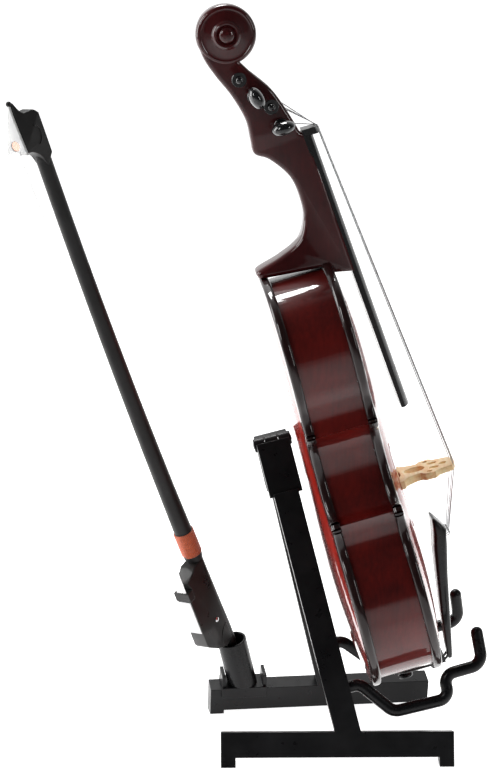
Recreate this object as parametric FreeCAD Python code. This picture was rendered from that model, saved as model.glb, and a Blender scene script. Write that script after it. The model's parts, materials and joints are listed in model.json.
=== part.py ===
"""Miniature display cello on its folding stand, with the bow in the stand's tube.

Three frames are used, all in millimetres.
  cello frame  x out of the front (belly), y to the treble side, z up the body; zero on the back, at its foot
  side frame   x along the stand's hinge pin, y out through a leg's thickness, z up the leg; zero on the pin
  bow frame    x towards the hair, z up the stick; zero where the stick enters the mouth of the tube
Each shape is made in its own frame and then placed in the part's frame: +X is the way the cello faces, +Z up.
"""
import FreeCAD, Part
import math
import os

V = FreeCAD.Vector

# ---- where things stand in the part's frame ----
FLOOR_LEVEL = 1.2
FLOOR_SHIFT = V(36.536, 2.327, -FLOOR_LEVEL)
STAND_LEAN = 13.75
LEG_SPLAY = 14.85
HINGE_HEIGHT_ALONG_LEAN = 112.4
CELLO_LEAN = 15.2
CELLO_ORIGIN = V(8.9, 0.0, 18.1)
BOW_LEAN_BACK = 19.5
BOW_LEAN_SIDE = 18.0
BOW_ROLL = 52.7
BOW_MOUTH = V(-40.45, 23.6, 30.2)

# ---- cello body ----
BODY_BOTTOM = 3.7
BODY_TOP = 155.0
BODY_DEPTH = 25.3
PLATE_EDGE = 3.3
EDGE_OVERHANG = 2.2
RIB_THICKNESS = 1.5
BELLY_ARCH = 4.8
BACK_ARCH = 3.3
LOWER_BOUT = {"half": 45.5, "height": 35.0, "radius": 40.0}
UPPER_BOUT = {"half": 35.5, "height": 126.0, "radius": 28.0}
WAIST = {"half": 24.0, "height": 87.0, "radius": 19.5}
BOTTOM_RADIUS = 66.0
BOTTOM_SHOULDER_RADIUS = 31.0
TOP_RADIUS = 56.0
TOP_SHOULDER_RADIUS = 21.0
LOWER_CORNER = {"tip": (38.2, 69.6), "inner": (36.0, 72.8), "flare": 10.0, "hook": 7.0}
UPPER_CORNER = {"tip": (32.4, 102.0), "inner": (30.6, 99.2), "flare": 9.0, "hook": 7.0}
CORNER_BLOCK_RADIUS = 9.0
END_BLOCK = {"half_width": 11.0, "depth": 10.0}
F_HOLE_EYES = {"top": (9.6, 86.0, 1.4), "bottom": (18.0, 60.5, 1.8)}
F_HOLE_SLOT = 1.5

# ---- neck, pegbox, scroll ----
NECK_HALF_AT_BODY = 5.6
NECK_HALF_AT_NUT = 4.2
PEGBOX_HALF = 4.6
PEGBOX_CHEEK = 1.4
SCROLL_CENTRE = (11.2, 239.4)
SCROLL_STEPS = ((10.4, 4.4), (7.6, 5.5), (4.9, 6.4), (2.6, 7.4))
PEG_CENTRES = {"a": (19.6, 211.6), "d": (21.3, 204.4), "g": (15.1, 216.7), "c": (11.4, 223.5)}
PEG_HEAD_SIDE = {"a": 1, "d": -1, "g": -1, "c": 1}
PEG_SHAFT_RADIUS = 1.4
PEG_CLEARANCE = 0.05
PEG_HEAD = {"half_long": 4.2, "half_short": 2.5, "length": 8.0, "gap": 2.2}

# ---- fittings ----
FINGERBOARD = {"top": 201.0, "end": 98.0, "half_top": 4.3, "half_end": 7.4}
STRING_RADIUS = 0.16
STRING_NAMES = ("c", "g", "d", "a")
STRING_AT_NUT = 1.9
STRING_AT_BRIDGE = 3.3
STRING_AT_TAILPIECE = 2.4
BRIDGE = {"height_z": 72.0, "top_x": 49.4, "foot_y": 9.5, "thick_foot": 3.0, "thick_top": 2.0}
BRIDGE_HOLES = ((0.0, 40.6, 1.5), (-5.4, 41.6, 1.1), (5.4, 41.6, 1.1), (-2.4, 44.6, 0.8), (2.4, 44.6, 0.8))
TAILPIECE = {"top": 55.5, "bottom": 3.2, "half_top": 6.4, "half_bottom": 2.7}
TAILPIECE_HOOK_Z = 49.0
TAILGUT_RADIUS = 0.45
BUTTON = {"x": 13.2, "shank": 1.5, "head": 2.7, "neck": 1.9, "depth": 12.0}
TAILPIECE_STRING_X = 41.2
PEG_HEAD_TURN = {"a": 20.0, "d": 75.0, "g": -20.0, "c": 60.0}
ARCH_HEIGHTS_LOW = (6.4, 9.0, 15.0, 25.0, 36.0, 48.0, 60.0, 72.0, 80.0)
ARCH_HEIGHTS_HIGH = (87.0, 95.0, 104.0, 114.0, 126.0, 138.0, 147.0, 152.5)

# ---- stand ----
LEG_THICKNESS = 8.0
LEG_WIDTH = 8.85
INNER_GAP = 0.25
HINGE_PLATE_WIDTH = 11.7
HINGE_PLATE_HEIGHT = 19.3
KNUCKLE_RADIUS = 2.4
KNUCKLE_CLEARANCE = 0.35
KNUCKLE_EDGES = (-6.65, -2.6, 2.2, 6.65)
KNUCKLE_END_GAP = 0.3
PIN_RADIUS = 1.0
PIN_CLEARANCE = 0.05
BAR_BACK = 47.1
BAR_FRONT = 34.0
BAR_HEIGHT = 8.85
FOOT_HEIGHT = 2.6
FOOT_LENGTH = 5.1
ARM_RADIUS = 2.15
ARM_BEND = 4.5
ARM_POINTS = ((-2.0, -89.8), (8.1, -89.6), (17.3, -101.9), (37.4, -102.3), (37.4, -94.0), (51.6, -93.7))
ARM_END = (52.4, -82.6)
TUBE = {"x": -31.0, "outer": 5.3, "inner": 4.55, "top": -77.1, "floor": 2.0, "reach": 60.0}
SADDLE = {"half_length": 8.2, "skirt": 3.2, "wall": 1.0, "tab": 5.4, "tab_thick": 1.3}

# ---- bow ----
STICK_SECTIONS = ((0.0, 2.9), (8.0, 3.3), (38.0, 3.45), (70.0, 3.1), (107.0, 2.9), (160.0, 2.7), (219.0, 2.6))
HEAD_HALF = 2.7
BEAK_RADIUS = 0.9
STICK_CAMBER = 2.5
STICK_LENGTH = 219.0
STICK_END = {"radius": 2.4, "length": 8.0}
FROG = {"half": 3.1, "height": 13.9}
FERRULE = {"from": 28.6, "length": 3.8, "depth": 2.6, "lip": 0.2, "gap": 0.05}
SLIDE = {"from": 14.5, "margin": 0.4, "thickness": 0.35}
EYE = {"centre": (4.9, 13.9), "radius": 0.9, "half_length": 0.3}
PLUG = {"radius": 1.7, "from_low": 3.1}
WINDING = {"from": 41.2, "to": 51.4, "radius": 3.75}
TIP_PLATE = {"half": 4.5, "point": 0.7, "thickness": 0.9, "low": (10.6, 212.2), "high": (6.4, 229.2)}
HAIR = {"half": 2.0, "thickness": 0.5}


# ---------------------------------------------------------------- small helpers
def polar(centre, radius, angle):
    return (centre[0] + radius * math.cos(angle), centre[1] + radius * math.sin(angle))


def towards(centre, target, radius):
    """Point at a distance from a centre, in the direction of a target."""
    return polar(centre, radius, math.atan2(target[1] - centre[1], target[0] - centre[0]))


def circle_cross(centre_a, radius_a, centre_b, radius_b, near):
    """The crossing of two circles that is nearer to a hint point."""
    dx, dy = centre_b[0] - centre_a[0], centre_b[1] - centre_a[1]
    span = math.hypot(dx, dy)
    along = (radius_a**2 - radius_b**2 + span**2) / (2 * span)
    across = math.sqrt(radius_a**2 - along**2)
    points = [
        (
            centre_a[0] + (along * dx - side * across * dy) / span,
            centre_a[1] + (along * dy + side * across * dx) / span,
        )
        for side in (1, -1)
    ]
    return min(points, key=lambda p: math.hypot(p[0] - near[0], p[1] - near[1]))


def front_point(point, x=0.0):
    """A (y, z) pair as a point on a plane that faces the front."""
    return V(x, point[0], point[1])


def side_point(point, y=0.0):
    """An (x, z) pair as a point on a plane that faces the side."""
    return V(point[0], y, point[1])


def arc_edge(centre, start, end, to_vector):
    """Arc of under half a turn round a centre, from start to end."""
    radius = math.hypot(start[0] - centre[0], start[1] - centre[1])
    middle = ((start[0] + end[0]) / 2, (start[1] + end[1]) / 2)
    return Part.Arc(to_vector(start), to_vector(towards(centre, middle, radius)), to_vector(end)).toShape()


def closed_wire(corners):
    return Part.makePolygon(corners + [corners[0]])


def side_prism(points, half_width, centre_y=0.0):
    """Flat shape drawn in x and z, given thickness along y."""
    face = Part.Face(closed_wire([side_point(p, centre_y - half_width) for p in points]))
    return face.extrude(V(0, 2 * half_width, 0))


def spline_edge(points, to_vector):
    curve = Part.BSplineCurve()
    curve.interpolate([to_vector(p) for p in points])
    return curve.toShape()


def line_edge(start, end, to_vector):
    return Part.LineSegment(to_vector(start), to_vector(end)).toShape()


def rod(points, radius):
    """Round rod through a list of points, with a ball at each inner bend."""
    solids = []
    for start, end in zip(points, points[1:]):
        step = end - start
        solids.append(Part.makeCylinder(radius, step.Length, start, step))
    for bend in points[1:-1]:
        solids.append(Part.makeSphere(radius, bend))
    return solids[0].multiFuse(solids[1:]).removeSplitter()


def box_between(low, high):
    size = high - low
    return Part.makeBox(size.x, size.y, size.z, low)


def y_cylinder(radius, start_y, end_y, centre):
    """Cylinder along y, centred on an (x, z) pair."""
    return Part.makeCylinder(radius, end_y - start_y, V(centre[0], start_y, centre[1]), V(0, 1, 0))


# ---------------------------------------------------------------- cello outline
def flare_centre(corner, side, side_radius):
    """Centre of the hollow arc between a bout and its corner's tip."""
    hint = (2 * corner["tip"][0], corner["tip"][1])
    return circle_cross(side, side_radius + corner["flare"], corner["tip"], corner["flare"], hint)


def hook_centre(corner, middle):
    """Centre of the tight arc between the waist and its corner's inner end."""
    hint = (WAIST["half"], WAIST["height"])
    return circle_cross(middle, WAIST["radius"] - corner["hook"], corner["inner"], corner["hook"], hint)


def shoulder_centre(big, big_radius, side, side_radius, radius):
    """Centre of the arc that rounds the end of the body into a bout's side."""
    return circle_cross(big, big_radius - radius, side, side_radius - radius, (side[0] + radius, side[1]))


def corner_points(corner, flare, hook, inset):
    """Ends of a corner: two points where it is cut square, one where inset curves meet."""
    if inset:
        return [circle_cross(flare, corner["flare"] + inset, hook, corner["hook"] + inset, corner["tip"])]
    return [corner["tip"], corner["inner"]]


def half_outline(inset=0.0):
    """Edges of the treble half of the body's outline, from the bottom centre to the top centre."""
    bottom = (0.0, BODY_BOTTOM + BOTTOM_RADIUS)
    low_radius, up_radius = LOWER_BOUT["radius"], UPPER_BOUT["radius"]
    low_side = (LOWER_BOUT["half"] - low_radius, LOWER_BOUT["height"])
    up_side = (UPPER_BOUT["half"] - up_radius, UPPER_BOUT["height"])
    top = (0.0, BODY_TOP - TOP_RADIUS)
    middle = (WAIST["half"] + WAIST["radius"], WAIST["height"])
    low_shoulder = shoulder_centre(bottom, BOTTOM_RADIUS, low_side, low_radius, BOTTOM_SHOULDER_RADIUS)
    up_shoulder = shoulder_centre(top, TOP_RADIUS, up_side, up_radius, TOP_SHOULDER_RADIUS)
    low_flare = flare_centre(LOWER_CORNER, low_side, low_radius)
    up_flare = flare_centre(UPPER_CORNER, up_side, up_radius)
    low_hook, up_hook = hook_centre(LOWER_CORNER, middle), hook_centre(UPPER_CORNER, middle)
    low_corner = corner_points(LOWER_CORNER, low_flare, low_hook, inset)
    up_corner = corner_points(UPPER_CORNER, up_flare, up_hook, inset)
    waist_radius = WAIST["radius"] + inset
    arcs = [
        (bottom, towards(bottom, low_shoulder, BOTTOM_RADIUS - inset)),
        (low_shoulder, towards(low_side, low_shoulder, low_radius - inset)),
        (low_side, towards(low_side, low_flare, low_radius - inset)),
        (low_flare, low_corner[0]),
        (None, low_corner[-1]),
        (low_hook, towards(middle, low_hook, waist_radius)),
        (middle, towards(middle, up_hook, waist_radius)),
        (up_hook, up_corner[-1]),
        (None, up_corner[0]),
        (up_flare, towards(up_side, up_flare, up_radius - inset)),
        (up_side, towards(up_side, up_shoulder, up_radius - inset)),
        (up_shoulder, towards(top, up_shoulder, TOP_RADIUS - inset)),
        (top, (0.0, BODY_TOP - inset)),
    ]
    edges = []
    here = (0.0, BODY_BOTTOM + inset)
    for centre, end in arcs:
        if centre is not None:
            edges.append(arc_edge(centre, here, end, front_point))
        elif here != end:
            edges.append(line_edge(here, end, front_point))
        here = end
    return edges


def outline_wire(inset=0.0, x=0.0):
    """Closed outline of the body, moved inward by an inset, at a depth x."""
    half = half_outline(inset)
    other = [edge.mirror(V(0, 0, 0), V(0, 1, 0)) for edge in half]
    wire = Part.Wire(Part.__sortEdges__(half + other))
    wire.translate(V(x, 0, 0))
    return wire


def outline_solid(inset, x_low, x_high):
    return Part.Face(outline_wire(inset, x_low)).extrude(V(x_high - x_low, 0, 0))


def half_width_at(z):
    """Width of the body at a height, without its corners."""
    bouts = (
        (LOWER_BOUT["half"], LOWER_BOUT["height"], LOWER_BOUT["radius"]),
        (UPPER_BOUT["half"], UPPER_BOUT["height"], UPPER_BOUT["radius"]),
    )
    widths = []
    for half, height, radius in bouts:
        if abs(z - height) < radius:
            widths.append(half - radius + math.sqrt(radius**2 - (z - height) ** 2))
    rise = z - WAIST["height"]
    if abs(rise) < WAIST["radius"]:
        return WAIST["half"] + WAIST["radius"] - math.sqrt(WAIST["radius"] ** 2 - rise**2)
    ends = ((z - BODY_BOTTOM, BOTTOM_RADIUS), (BODY_TOP - z, TOP_RADIUS))
    chords = [math.sqrt(radius**2 - (radius - depth) ** 2) for depth, radius in ends if depth < radius]
    return min([max(widths)] + chords)


def arching(plane_x, height, direction):
    """Domed part of a plate: smooth arches across the body, each rising from the edge's flat."""
    sections = []
    for z in ARCH_HEIGHTS_LOW + ARCH_HEIGHTS_HIGH:
        half = half_width_at(z) - EDGE_OVERHANG
        share = math.sin(math.pi * (z - BODY_BOTTOM) / (BODY_TOP - BODY_BOTTOM)) ** 0.5
        rise = direction * height * share
        points = [(-half, 0), (-0.62 * half, 0.62 * rise), (0, rise), (0.62 * half, 0.62 * rise), (half, 0)]
        top = spline_edge([(plane_x + lift, y) for y, lift in points], lambda p, z=z: V(p[0], p[1], z))
        base = Part.LineSegment(V(plane_x, half, z), V(plane_x, -half, z)).toShape()
        sections.append(Part.Wire([top, base]))
    return Part.makeLoft(sections, True, False)


def f_hole(side):
    """Long S-shaped sound hole with a round eye at each end, as a cutter."""
    top, bottom = F_HOLE_EYES["top"], F_HOLE_EYES["bottom"]
    y_top, z_top, r_top = top
    y_low, z_low, r_low = bottom
    half = F_HOLE_SLOT / 2
    mid_y, mid_z = (y_top + y_low) / 2, (z_top + z_low) / 2
    centre_line = [
        (y_top + 0.9 * r_top, z_top + 0.4),
        (y_top + 2.6, z_top - 1.2),
        (mid_y - 0.2, mid_z + 6.0),
        (mid_y, mid_z),
        (mid_y + 0.2, mid_z - 6.0),
        (y_low - 3.0, z_low + 1.6),
        (y_low - 0.9 * r_low, z_low - 0.4),
    ]
    right = [(side * (y + half), z) for y, z in centre_line]
    left = [(side * (y - half), z) for y, z in centre_line]
    ends = [line_edge(right[-1], left[-1], front_point), line_edge(left[0], right[0], front_point)]
    edges = [spline_edge(right, front_point), ends[0], spline_edge(left, front_point), ends[1]]
    slot = Part.Face(Part.Wire(Part.__sortEdges__(edges))).extrude(V(2 * BODY_DEPTH, 0, 0))
    eyes = [
        Part.makeCylinder(radius, 2 * BODY_DEPTH, V(0, side * y, z), V(1, 0, 0))
        for y, z, radius in (top, bottom)
    ]
    cutter = slot.multiFuse(eyes)
    cutter.translate(V(BODY_DEPTH / 2 + RIB_THICKNESS, 0, 0))
    return cutter


def inner_wire_solid():
    return outline_solid(EDGE_OVERHANG + RIB_THICKNESS, PLATE_EDGE, BODY_DEPTH - PLATE_EDGE)


def plates():
    edge = outline_solid(0.0, 0.0, PLATE_EDGE)
    back = edge.fuse(arching(0.0, BACK_ARCH, -1))
    hollow = arching(PLATE_EDGE, BACK_ARCH, -1)
    back = back.cut(hollow)
    front_edge = outline_solid(0.0, BODY_DEPTH - PLATE_EDGE, BODY_DEPTH)
    front = front_edge.fuse(arching(BODY_DEPTH, BELLY_ARCH, 1))
    front = front.cut(arching(BODY_DEPTH - PLATE_EDGE, BELLY_ARCH, 1))
    for side in (-1, 1):
        front = front.cut(f_hole(side))
    return {"back_plate": back, "top_plate": front}


def ribs():
    """Five bent strips between the plates: one round the bottom, two at the waist, two at the top."""
    outer = outline_solid(EDGE_OVERHANG, PLATE_EDGE, BODY_DEPTH - PLATE_EDGE)
    ring = outer.cut(inner_wire_solid())
    low_cut = (LOWER_CORNER["tip"][1] + LOWER_CORNER["inner"][1]) / 2
    up_cut = (UPPER_CORNER["tip"][1] + UPPER_CORNER["inner"][1]) / 2
    reach = LOWER_BOUT["half"]
    pieces = {}
    pieces["lower_rib"] = ring.common(box_between(V(0, -reach, 0), V(BODY_DEPTH, reach, low_cut)))
    for side, name in ((-1, "bass"), (1, "treble")):
        low_y, high_y = min(0, side * reach), max(0, side * reach)
        waist_box = box_between(V(0, low_y, low_cut), V(BODY_DEPTH, high_y, up_cut))
        upper_box = box_between(V(0, low_y, up_cut), V(BODY_DEPTH, high_y, BODY_TOP))
        pieces[name + "_waist_rib"] = ring.common(waist_box)
        pieces[name + "_upper_rib"] = ring.common(upper_box)
    return pieces


def blocks():
    inside = inner_wire_solid()
    half, depth = END_BLOCK["half_width"], END_BLOCK["depth"]
    wall = EDGE_OVERHANG + RIB_THICKNESS + depth
    low_z, high_z = BODY_BOTTOM + wall, BODY_TOP - wall
    corners = []
    for corner in (LOWER_CORNER, UPPER_CORNER):
        y, z = corner["tip"]
        for side in (-1, 1):
            centre = V(PLATE_EDGE, side * y, z)
            post = Part.makeCylinder(CORNER_BLOCK_RADIUS, BODY_DEPTH - 2 * PLATE_EDGE, centre, V(1, 0, 0))
            corners.append(inside.common(post))
    return {
        "bottom_block": inside.common(box_between(V(0, -half, 0), V(BODY_DEPTH, half, low_z))),
        "top_block": inside.common(box_between(V(0, -half, high_z), V(BODY_DEPTH, half, BODY_TOP))),
        "corner_blocks": Part.makeCompound(corners),
    }


# ---------------------------------------------------------------- neck and scroll
def neck_profile():
    """Side view of neck, heel and pegbox, as one face with spline edges."""
    chin = (14.5, 194.0)
    back = [(0.1, 157.9), (9.2, 160.7), (16.7, 164.3), (20.2, 170.6), (21.0, 177.6), (19.7, 186.3), chin]
    pegbox_back = [chin, (9.7, 197.2), (10.0, 202.4), (10.2, 209.5), (7.6, 218.5), (4.1, 226.5), (1.9, 233.0)]
    pegbox_top = (13.1, 229.3)
    nut_seat = (27.6, 200.6)
    throat = [(16.4, 224.4), (21.0, 217.9), (23.6, 211.8), (25.7, 205.2), (26.8, 200.6)]
    rib_end = BODY_TOP - EDGE_OVERHANG
    heel_front = [(30.9, 148.8), (25.4, 150.4), (BODY_DEPTH, BODY_TOP), (BODY_DEPTH - PLATE_EDGE, BODY_TOP)]
    heel_front += [(BODY_DEPTH - PLATE_EDGE, rib_end), (PLATE_EDGE, rib_end), (PLATE_EDGE, BODY_TOP)]
    heel_front += [(0.1, BODY_TOP)]
    edges = [spline_edge(back, side_point), spline_edge(pegbox_back, side_point)]
    edges.append(line_edge(pegbox_back[-1], pegbox_top, side_point))
    edges.append(line_edge(pegbox_top, throat[0], side_point))
    edges.append(spline_edge(throat, side_point))
    edges.append(line_edge(throat[-1], nut_seat, side_point))
    edges.append(line_edge(nut_seat, heel_front[0], side_point))
    for start, end in zip(heel_front, heel_front[1:]):
        edges.append(line_edge(start, end, side_point))
    edges.append(line_edge(heel_front[-1], back[0], side_point))
    return Part.Face(Part.Wire(edges))


def neck_plan():
    """Front view of neck and pegbox: the neck narrows to the nut, the pegbox to the scroll."""
    half = [(NECK_HALF_AT_BODY + 1.5, 148.0), (NECK_HALF_AT_BODY, 160.0), (NECK_HALF_AT_NUT, 198.0)]
    half += [(PEGBOX_HALF, 203.0), (PEGBOX_HALF, 214.0), (PEGBOX_HALF - 0.6, 236.0)]
    outline = half + [(-y, z) for y, z in reversed(half)]
    reach = 60.0
    return Part.Face(closed_wire([front_point(p, -reach / 2) for p in outline])).extrude(V(reach, 0, 0))


def scroll():
    """Volute: round steps that climb outward to the eye on both sides."""
    steps = [y_cylinder(radius, -half, half, SCROLL_CENTRE) for radius, half in SCROLL_STEPS]
    return steps[0].multiFuse(steps[1:])


def neck_and_scroll():
    neck = neck_profile().extrude(V(0, 2 * NECK_HALF_AT_BODY + 3, 0))
    neck.translate(V(0, -NECK_HALF_AT_BODY - 1.5, 0))
    neck = neck.common(neck_plan()).fuse(scroll())
    inner = PEGBOX_HALF - PEGBOX_CHEEK
    channel = [(13.6, 201.8), (30.0, 201.8), (30.0, 214.0), (16.9, 224.6), (10.4, 226.6), (9.0, 222.0)]
    neck = neck.cut(side_prism(channel, inner))
    for centre in PEG_CENTRES.values():
        neck = neck.cut(y_cylinder(PEG_SHAFT_RADIUS + PEG_CLEARANCE, -BODY_DEPTH, BODY_DEPTH, centre))
    return neck


def peg(name):
    """Tuning peg: round shaft across the pegbox, collar and flat oval thumb piece."""
    x, z = PEG_CENTRES[name]
    side = PEG_HEAD_SIDE[name]
    tail = PEGBOX_HALF + 1.4
    start = PEGBOX_HALF + PEG_HEAD["gap"]
    shaft = Part.makeCylinder(PEG_SHAFT_RADIUS, tail + start + 0.5, V(x, -tail, z), V(0, 1, 0))
    tip = Part.makeSphere(PEG_SHAFT_RADIUS, V(x, -tail, z))
    collar = Part.makeCylinder(1.9, 1.0, V(x, start - 1.0, z), V(0, 1, 0))
    neck = Part.makeCone(1.5, 1.1, 2.0, V(x, start, z), V(0, 1, 0))
    head = Part.makeSphere(1.0, V(0, 0, 0))
    stretch = FreeCAD.Matrix()
    stretch.scale(V(PEG_HEAD["half_short"], PEG_HEAD["length"] / 2, PEG_HEAD["half_long"]))
    head = head.transformGeometry(stretch)
    head.rotate(V(0, 0, 0), V(0, 1, 0), PEG_HEAD_TURN[name])
    head.translate(V(x, start + 1.2 + PEG_HEAD["length"] / 2, z))
    whole = shaft.multiFuse([tip, collar, neck, head]).removeSplitter()
    if side < 0:
        whole = whole.mirror(V(0, 0, 0), V(0, 1, 0))
    return whole


# ---------------------------------------------------------------- fittings on the belly
def arched_section(x_low, x_top, half, z, crown):
    """Bar section across the body: flat underneath, crowned on top."""
    corners = [V(x_low, -half, z), V(x_low, half, z), V(x_top - crown, half, z), V(x_top - crown, -half, z)]
    flat = Part.makePolygon([corners[3]] + corners[:3]).Edges
    top = Part.Arc(corners[2], V(x_top, 0, z), corners[3]).toShape()
    return Part.Wire(flat + [top])


def fingerboard():
    top, end = FINGERBOARD["top"] - 2.4, FINGERBOARD["end"]
    start = arched_section(27.7, 31.2, FINGERBOARD["half_top"], top, 1.0)
    finish = arched_section(36.1, 39.4, FINGERBOARD["half_end"], end, 1.9)
    return Part.makeLoft([finish, start], True, True)


def nut():
    z_low, z_high = FINGERBOARD["top"] - 2.4, FINGERBOARD["top"]
    low = arched_section(27.7, 33.7, FINGERBOARD["half_top"], z_low, 1.0)
    high = arched_section(27.6, 33.1, FINGERBOARD["half_top"], z_high, 1.0)
    return Part.makeLoft([low, high], True, True)


def tailpiece():
    top, bottom = TAILPIECE["top"], TAILPIECE["bottom"]
    start = arched_section(36.1, 40.6, TAILPIECE["half_top"], top - 5.0, 1.2)
    finish = arched_section(29.5, 31.2, TAILPIECE["half_bottom"], bottom, 0.5)
    board = Part.makeLoft([finish, start], True, True)
    lip_low = arched_section(36.1, 40.6, TAILPIECE["half_top"], top - 5.0, 1.2)
    lip_high = arched_section(36.3, 37.4, TAILPIECE["half_top"] - 0.8, top, 0.6)
    board = board.fuse(Part.makeLoft([lip_low, lip_high], True, True))
    for y in string_offsets(STRING_AT_TAILPIECE):
        post = Part.makeCylinder(0.55, 3.2, V(38.6, y, TAILPIECE_HOOK_Z - 1.4), V(1, 0, 0))
        board = board.fuse(post)
    return board.removeSplitter()


def string_offsets(spacing):
    return [spacing * (index - 1.5) for index in range(len(STRING_NAMES))]


def bridge():
    """Two-footed bridge with a heart-shaped opening, side cut-outs, and a thin crowned top."""
    foot = BRIDGE["foot_y"]
    top = BRIDGE["top_x"]
    half = [(27.5, foot + 2.4), (30.2, foot + 2.4), (31.4, foot - 0.6), (35.0, foot - 2.6), (37.0, foot - 2.2)]
    half += [(38.2, foot - 0.4), (42.0, foot + 0.2), (44.0, foot - 2.0)]
    half += [(top - 3.2, foot - 2.6), (top - 1.2, foot - 3.2)]
    arch = [(top, 0.0)]
    under = [(27.5, foot - 3.4), (30.0, foot - 4.0), (32.4, 2.4)]
    right = half + arch
    left = [(x, -y) for x, y in reversed(half)]
    loop = right + left + [(x, -y) for x, y in under] + [(x, y) for x, y in reversed(under)]
    z = BRIDGE["height_z"]
    face = Part.Face(closed_wire([V(x, y, z - BRIDGE["thick_foot"] / 2) for x, y in loop]))
    body = face.extrude(V(0, 0, BRIDGE["thick_foot"]))
    thin = BRIDGE["thick_foot"] - BRIDGE["thick_top"]
    wedge = [(36.0, z + BRIDGE["thick_foot"] / 2), (top + 2, z + BRIDGE["thick_foot"] / 2 - thin * 1.1)]
    wedge += [(top + 2, z + BRIDGE["thick_foot"]), (36.0, z + BRIDGE["thick_foot"])]
    body = body.cut(side_prism(wedge, 2 * foot))
    for y, x, radius in BRIDGE_HOLES:
        body = body.cut(Part.makeCylinder(radius, 20, V(x, y, z - 10), V(0, 0, 1)))
    return body


def end_fittings():
    """Saddle, end button and gut loop at the bottom of the body."""
    x, shank, neck_z = BUTTON["x"], BUTTON["shank"], BUTTON["neck"]
    saddle = box_between(V(BODY_DEPTH - 0.7, -5.0, BODY_BOTTOM - 0.4), V(28.2, 5.0, BODY_BOTTOM + 2.4))
    button = Part.makeCylinder(shank, BUTTON["depth"] - neck_z, V(x, 0, neck_z), V(0, 0, 1))
    button = button.fuse(Part.makeCylinder(BUTTON["head"], 1.6, V(x, 0, neck_z), V(0, 0, -1)))
    loops = []
    for side in (-1, 1):
        y = side * (shank + TAILGUT_RADIUS)
        low = neck_z + 0.8
        route = [V(30.4, y, 5.4), V(29.0, y, low + 1.2), V(27.0, y, low), V(x, y, low)]
        route.append(V(x - shank - 1.1, 0, low))
        loops.append(rod(route, TAILGUT_RADIUS))
    return {"saddle": saddle, "end_button": button.removeSplitter(), "tailgut": loops[0].fuse(loops[1])}


def string_route(index):
    """Points of one string from its peg to the tailpiece."""
    name = STRING_NAMES[index]
    x_peg, z_peg = PEG_CENTRES[name]
    y_peg = (-1.6, -0.6, 0.6, 1.6)[index]
    y_nut = string_offsets(STRING_AT_NUT)[index]
    y_bridge = string_offsets(STRING_AT_BRIDGE)[index]
    y_tail = string_offsets(STRING_AT_TAILPIECE)[index]
    nut_drop = 0.035 * y_nut**2
    bridge_drop = 0.028 * y_bridge**2
    lead = PEG_SHAFT_RADIUS + STRING_RADIUS + PEG_CLEARANCE
    return [
        V(x_peg + lead * 0.97, y_peg, z_peg + lead * 0.25),
        V(33.75 - nut_drop, y_nut, FINGERBOARD["top"] - 0.5),
        V(BRIDGE["top_x"] + 0.1 - bridge_drop, y_bridge, BRIDGE["height_z"] + 0.2),
        V(TAILPIECE_STRING_X, y_tail, TAILPIECE_HOOK_Z),
    ]


def string(index):
    """One string with its turns on the peg."""
    route = string_route(index)
    name = STRING_NAMES[index]
    x, z = PEG_CENTRES[name]
    inner = PEG_SHAFT_RADIUS + PEG_CLEARANCE
    turns = y_cylinder(inner + 2.2 * STRING_RADIUS, route[0].y - 0.45, route[0].y + 0.45, (x, z))
    turns = turns.cut(y_cylinder(inner, -BODY_DEPTH, BODY_DEPTH, (x, z)))
    return rod(route, STRING_RADIUS).fuse(turns)


# ---------------------------------------------------------------- stand
def to_stand(shape, side):
    """Moves a shape from the side frame into the part's frame, on the bass (-1) or treble (1) side."""
    shape = shape.copy()
    shape.rotate(V(0, 0, 0), V(1, 0, 0), LEG_SPLAY)
    if side < 0:
        shape = shape.mirror(V(0, 0, 0), V(0, 1, 0))
    shape.rotate(V(0, 0, 0), V(0, 1, 0), -STAND_LEAN)
    shape.translate(hinge_point())
    return shape


def hinge_point():
    lean = math.radians(STAND_LEAN)
    return V(-HINGE_HEIGHT_ALONG_LEAN * math.sin(lean), 0, HINGE_HEIGHT_ALONG_LEAN * math.cos(lean))


def bar_slope():
    """Angle, in the leg's plane, between the hinge pin and a foot bar that lies level."""
    return math.atan(math.tan(math.radians(STAND_LEAN)) / math.cos(math.radians(LEG_SPLAY)))


def bar_strip(start, end, low, high, inner=INNER_GAP, outer=LEG_THICKNESS):
    """Block in the leg's plane: start and end run along the foot bar, low and high up from the foot line."""
    slope = bar_slope()
    along = V(math.cos(slope), 0, -math.sin(slope))
    across = V(math.sin(slope), 0, math.cos(slope))
    base = V(0, inner, -HINGE_HEIGHT_ALONG_LEAN / math.cos(math.radians(LEG_SPLAY)))
    corners = [base + along * start + across * low, base + along * end + across * low]
    corners += [base + along * end + across * high, base + along * start + across * high]
    return Part.Face(closed_wire(corners)).extrude(V(0, outer - inner, 0))


def level_slab(low, high):
    reach = 300.0
    return Part.makeBox(2 * reach, 2 * reach, high - low, V(-reach, -reach, low))


def leg_blank():
    """Leg with its wider hinge plate, down to the under side of the foot bar."""
    depth = 1.2 * HINGE_HEIGHT_ALONG_LEAN
    half = LEG_WIDTH / 2
    leg = box_between(V(-half, INNER_GAP, -depth), V(half, LEG_THICKNESS, -HINGE_PLATE_HEIGHT + 1))
    plate_half = HINGE_PLATE_WIDTH / 2
    low, high = V(-plate_half, INNER_GAP, -HINGE_PLATE_HEIGHT), V(plate_half, LEG_THICKNESS - 0.8, 0)
    above_feet = bar_strip(-depth, depth, FOOT_HEIGHT, 2 * depth)
    return leg.common(above_feet).fuse(box_between(low, high))


def knuckle_bands(side):
    """Spans of the hinge pin that a side's knuckles take: the bass side has the outer two."""
    edges = KNUCKLE_EDGES
    gap = KNUCKLE_END_GAP / 2
    if side < 0:
        return [(edges[0], edges[1] - gap), (edges[2] + gap, edges[3])]
    return [(edges[1] + gap, edges[2] - gap)]


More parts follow.
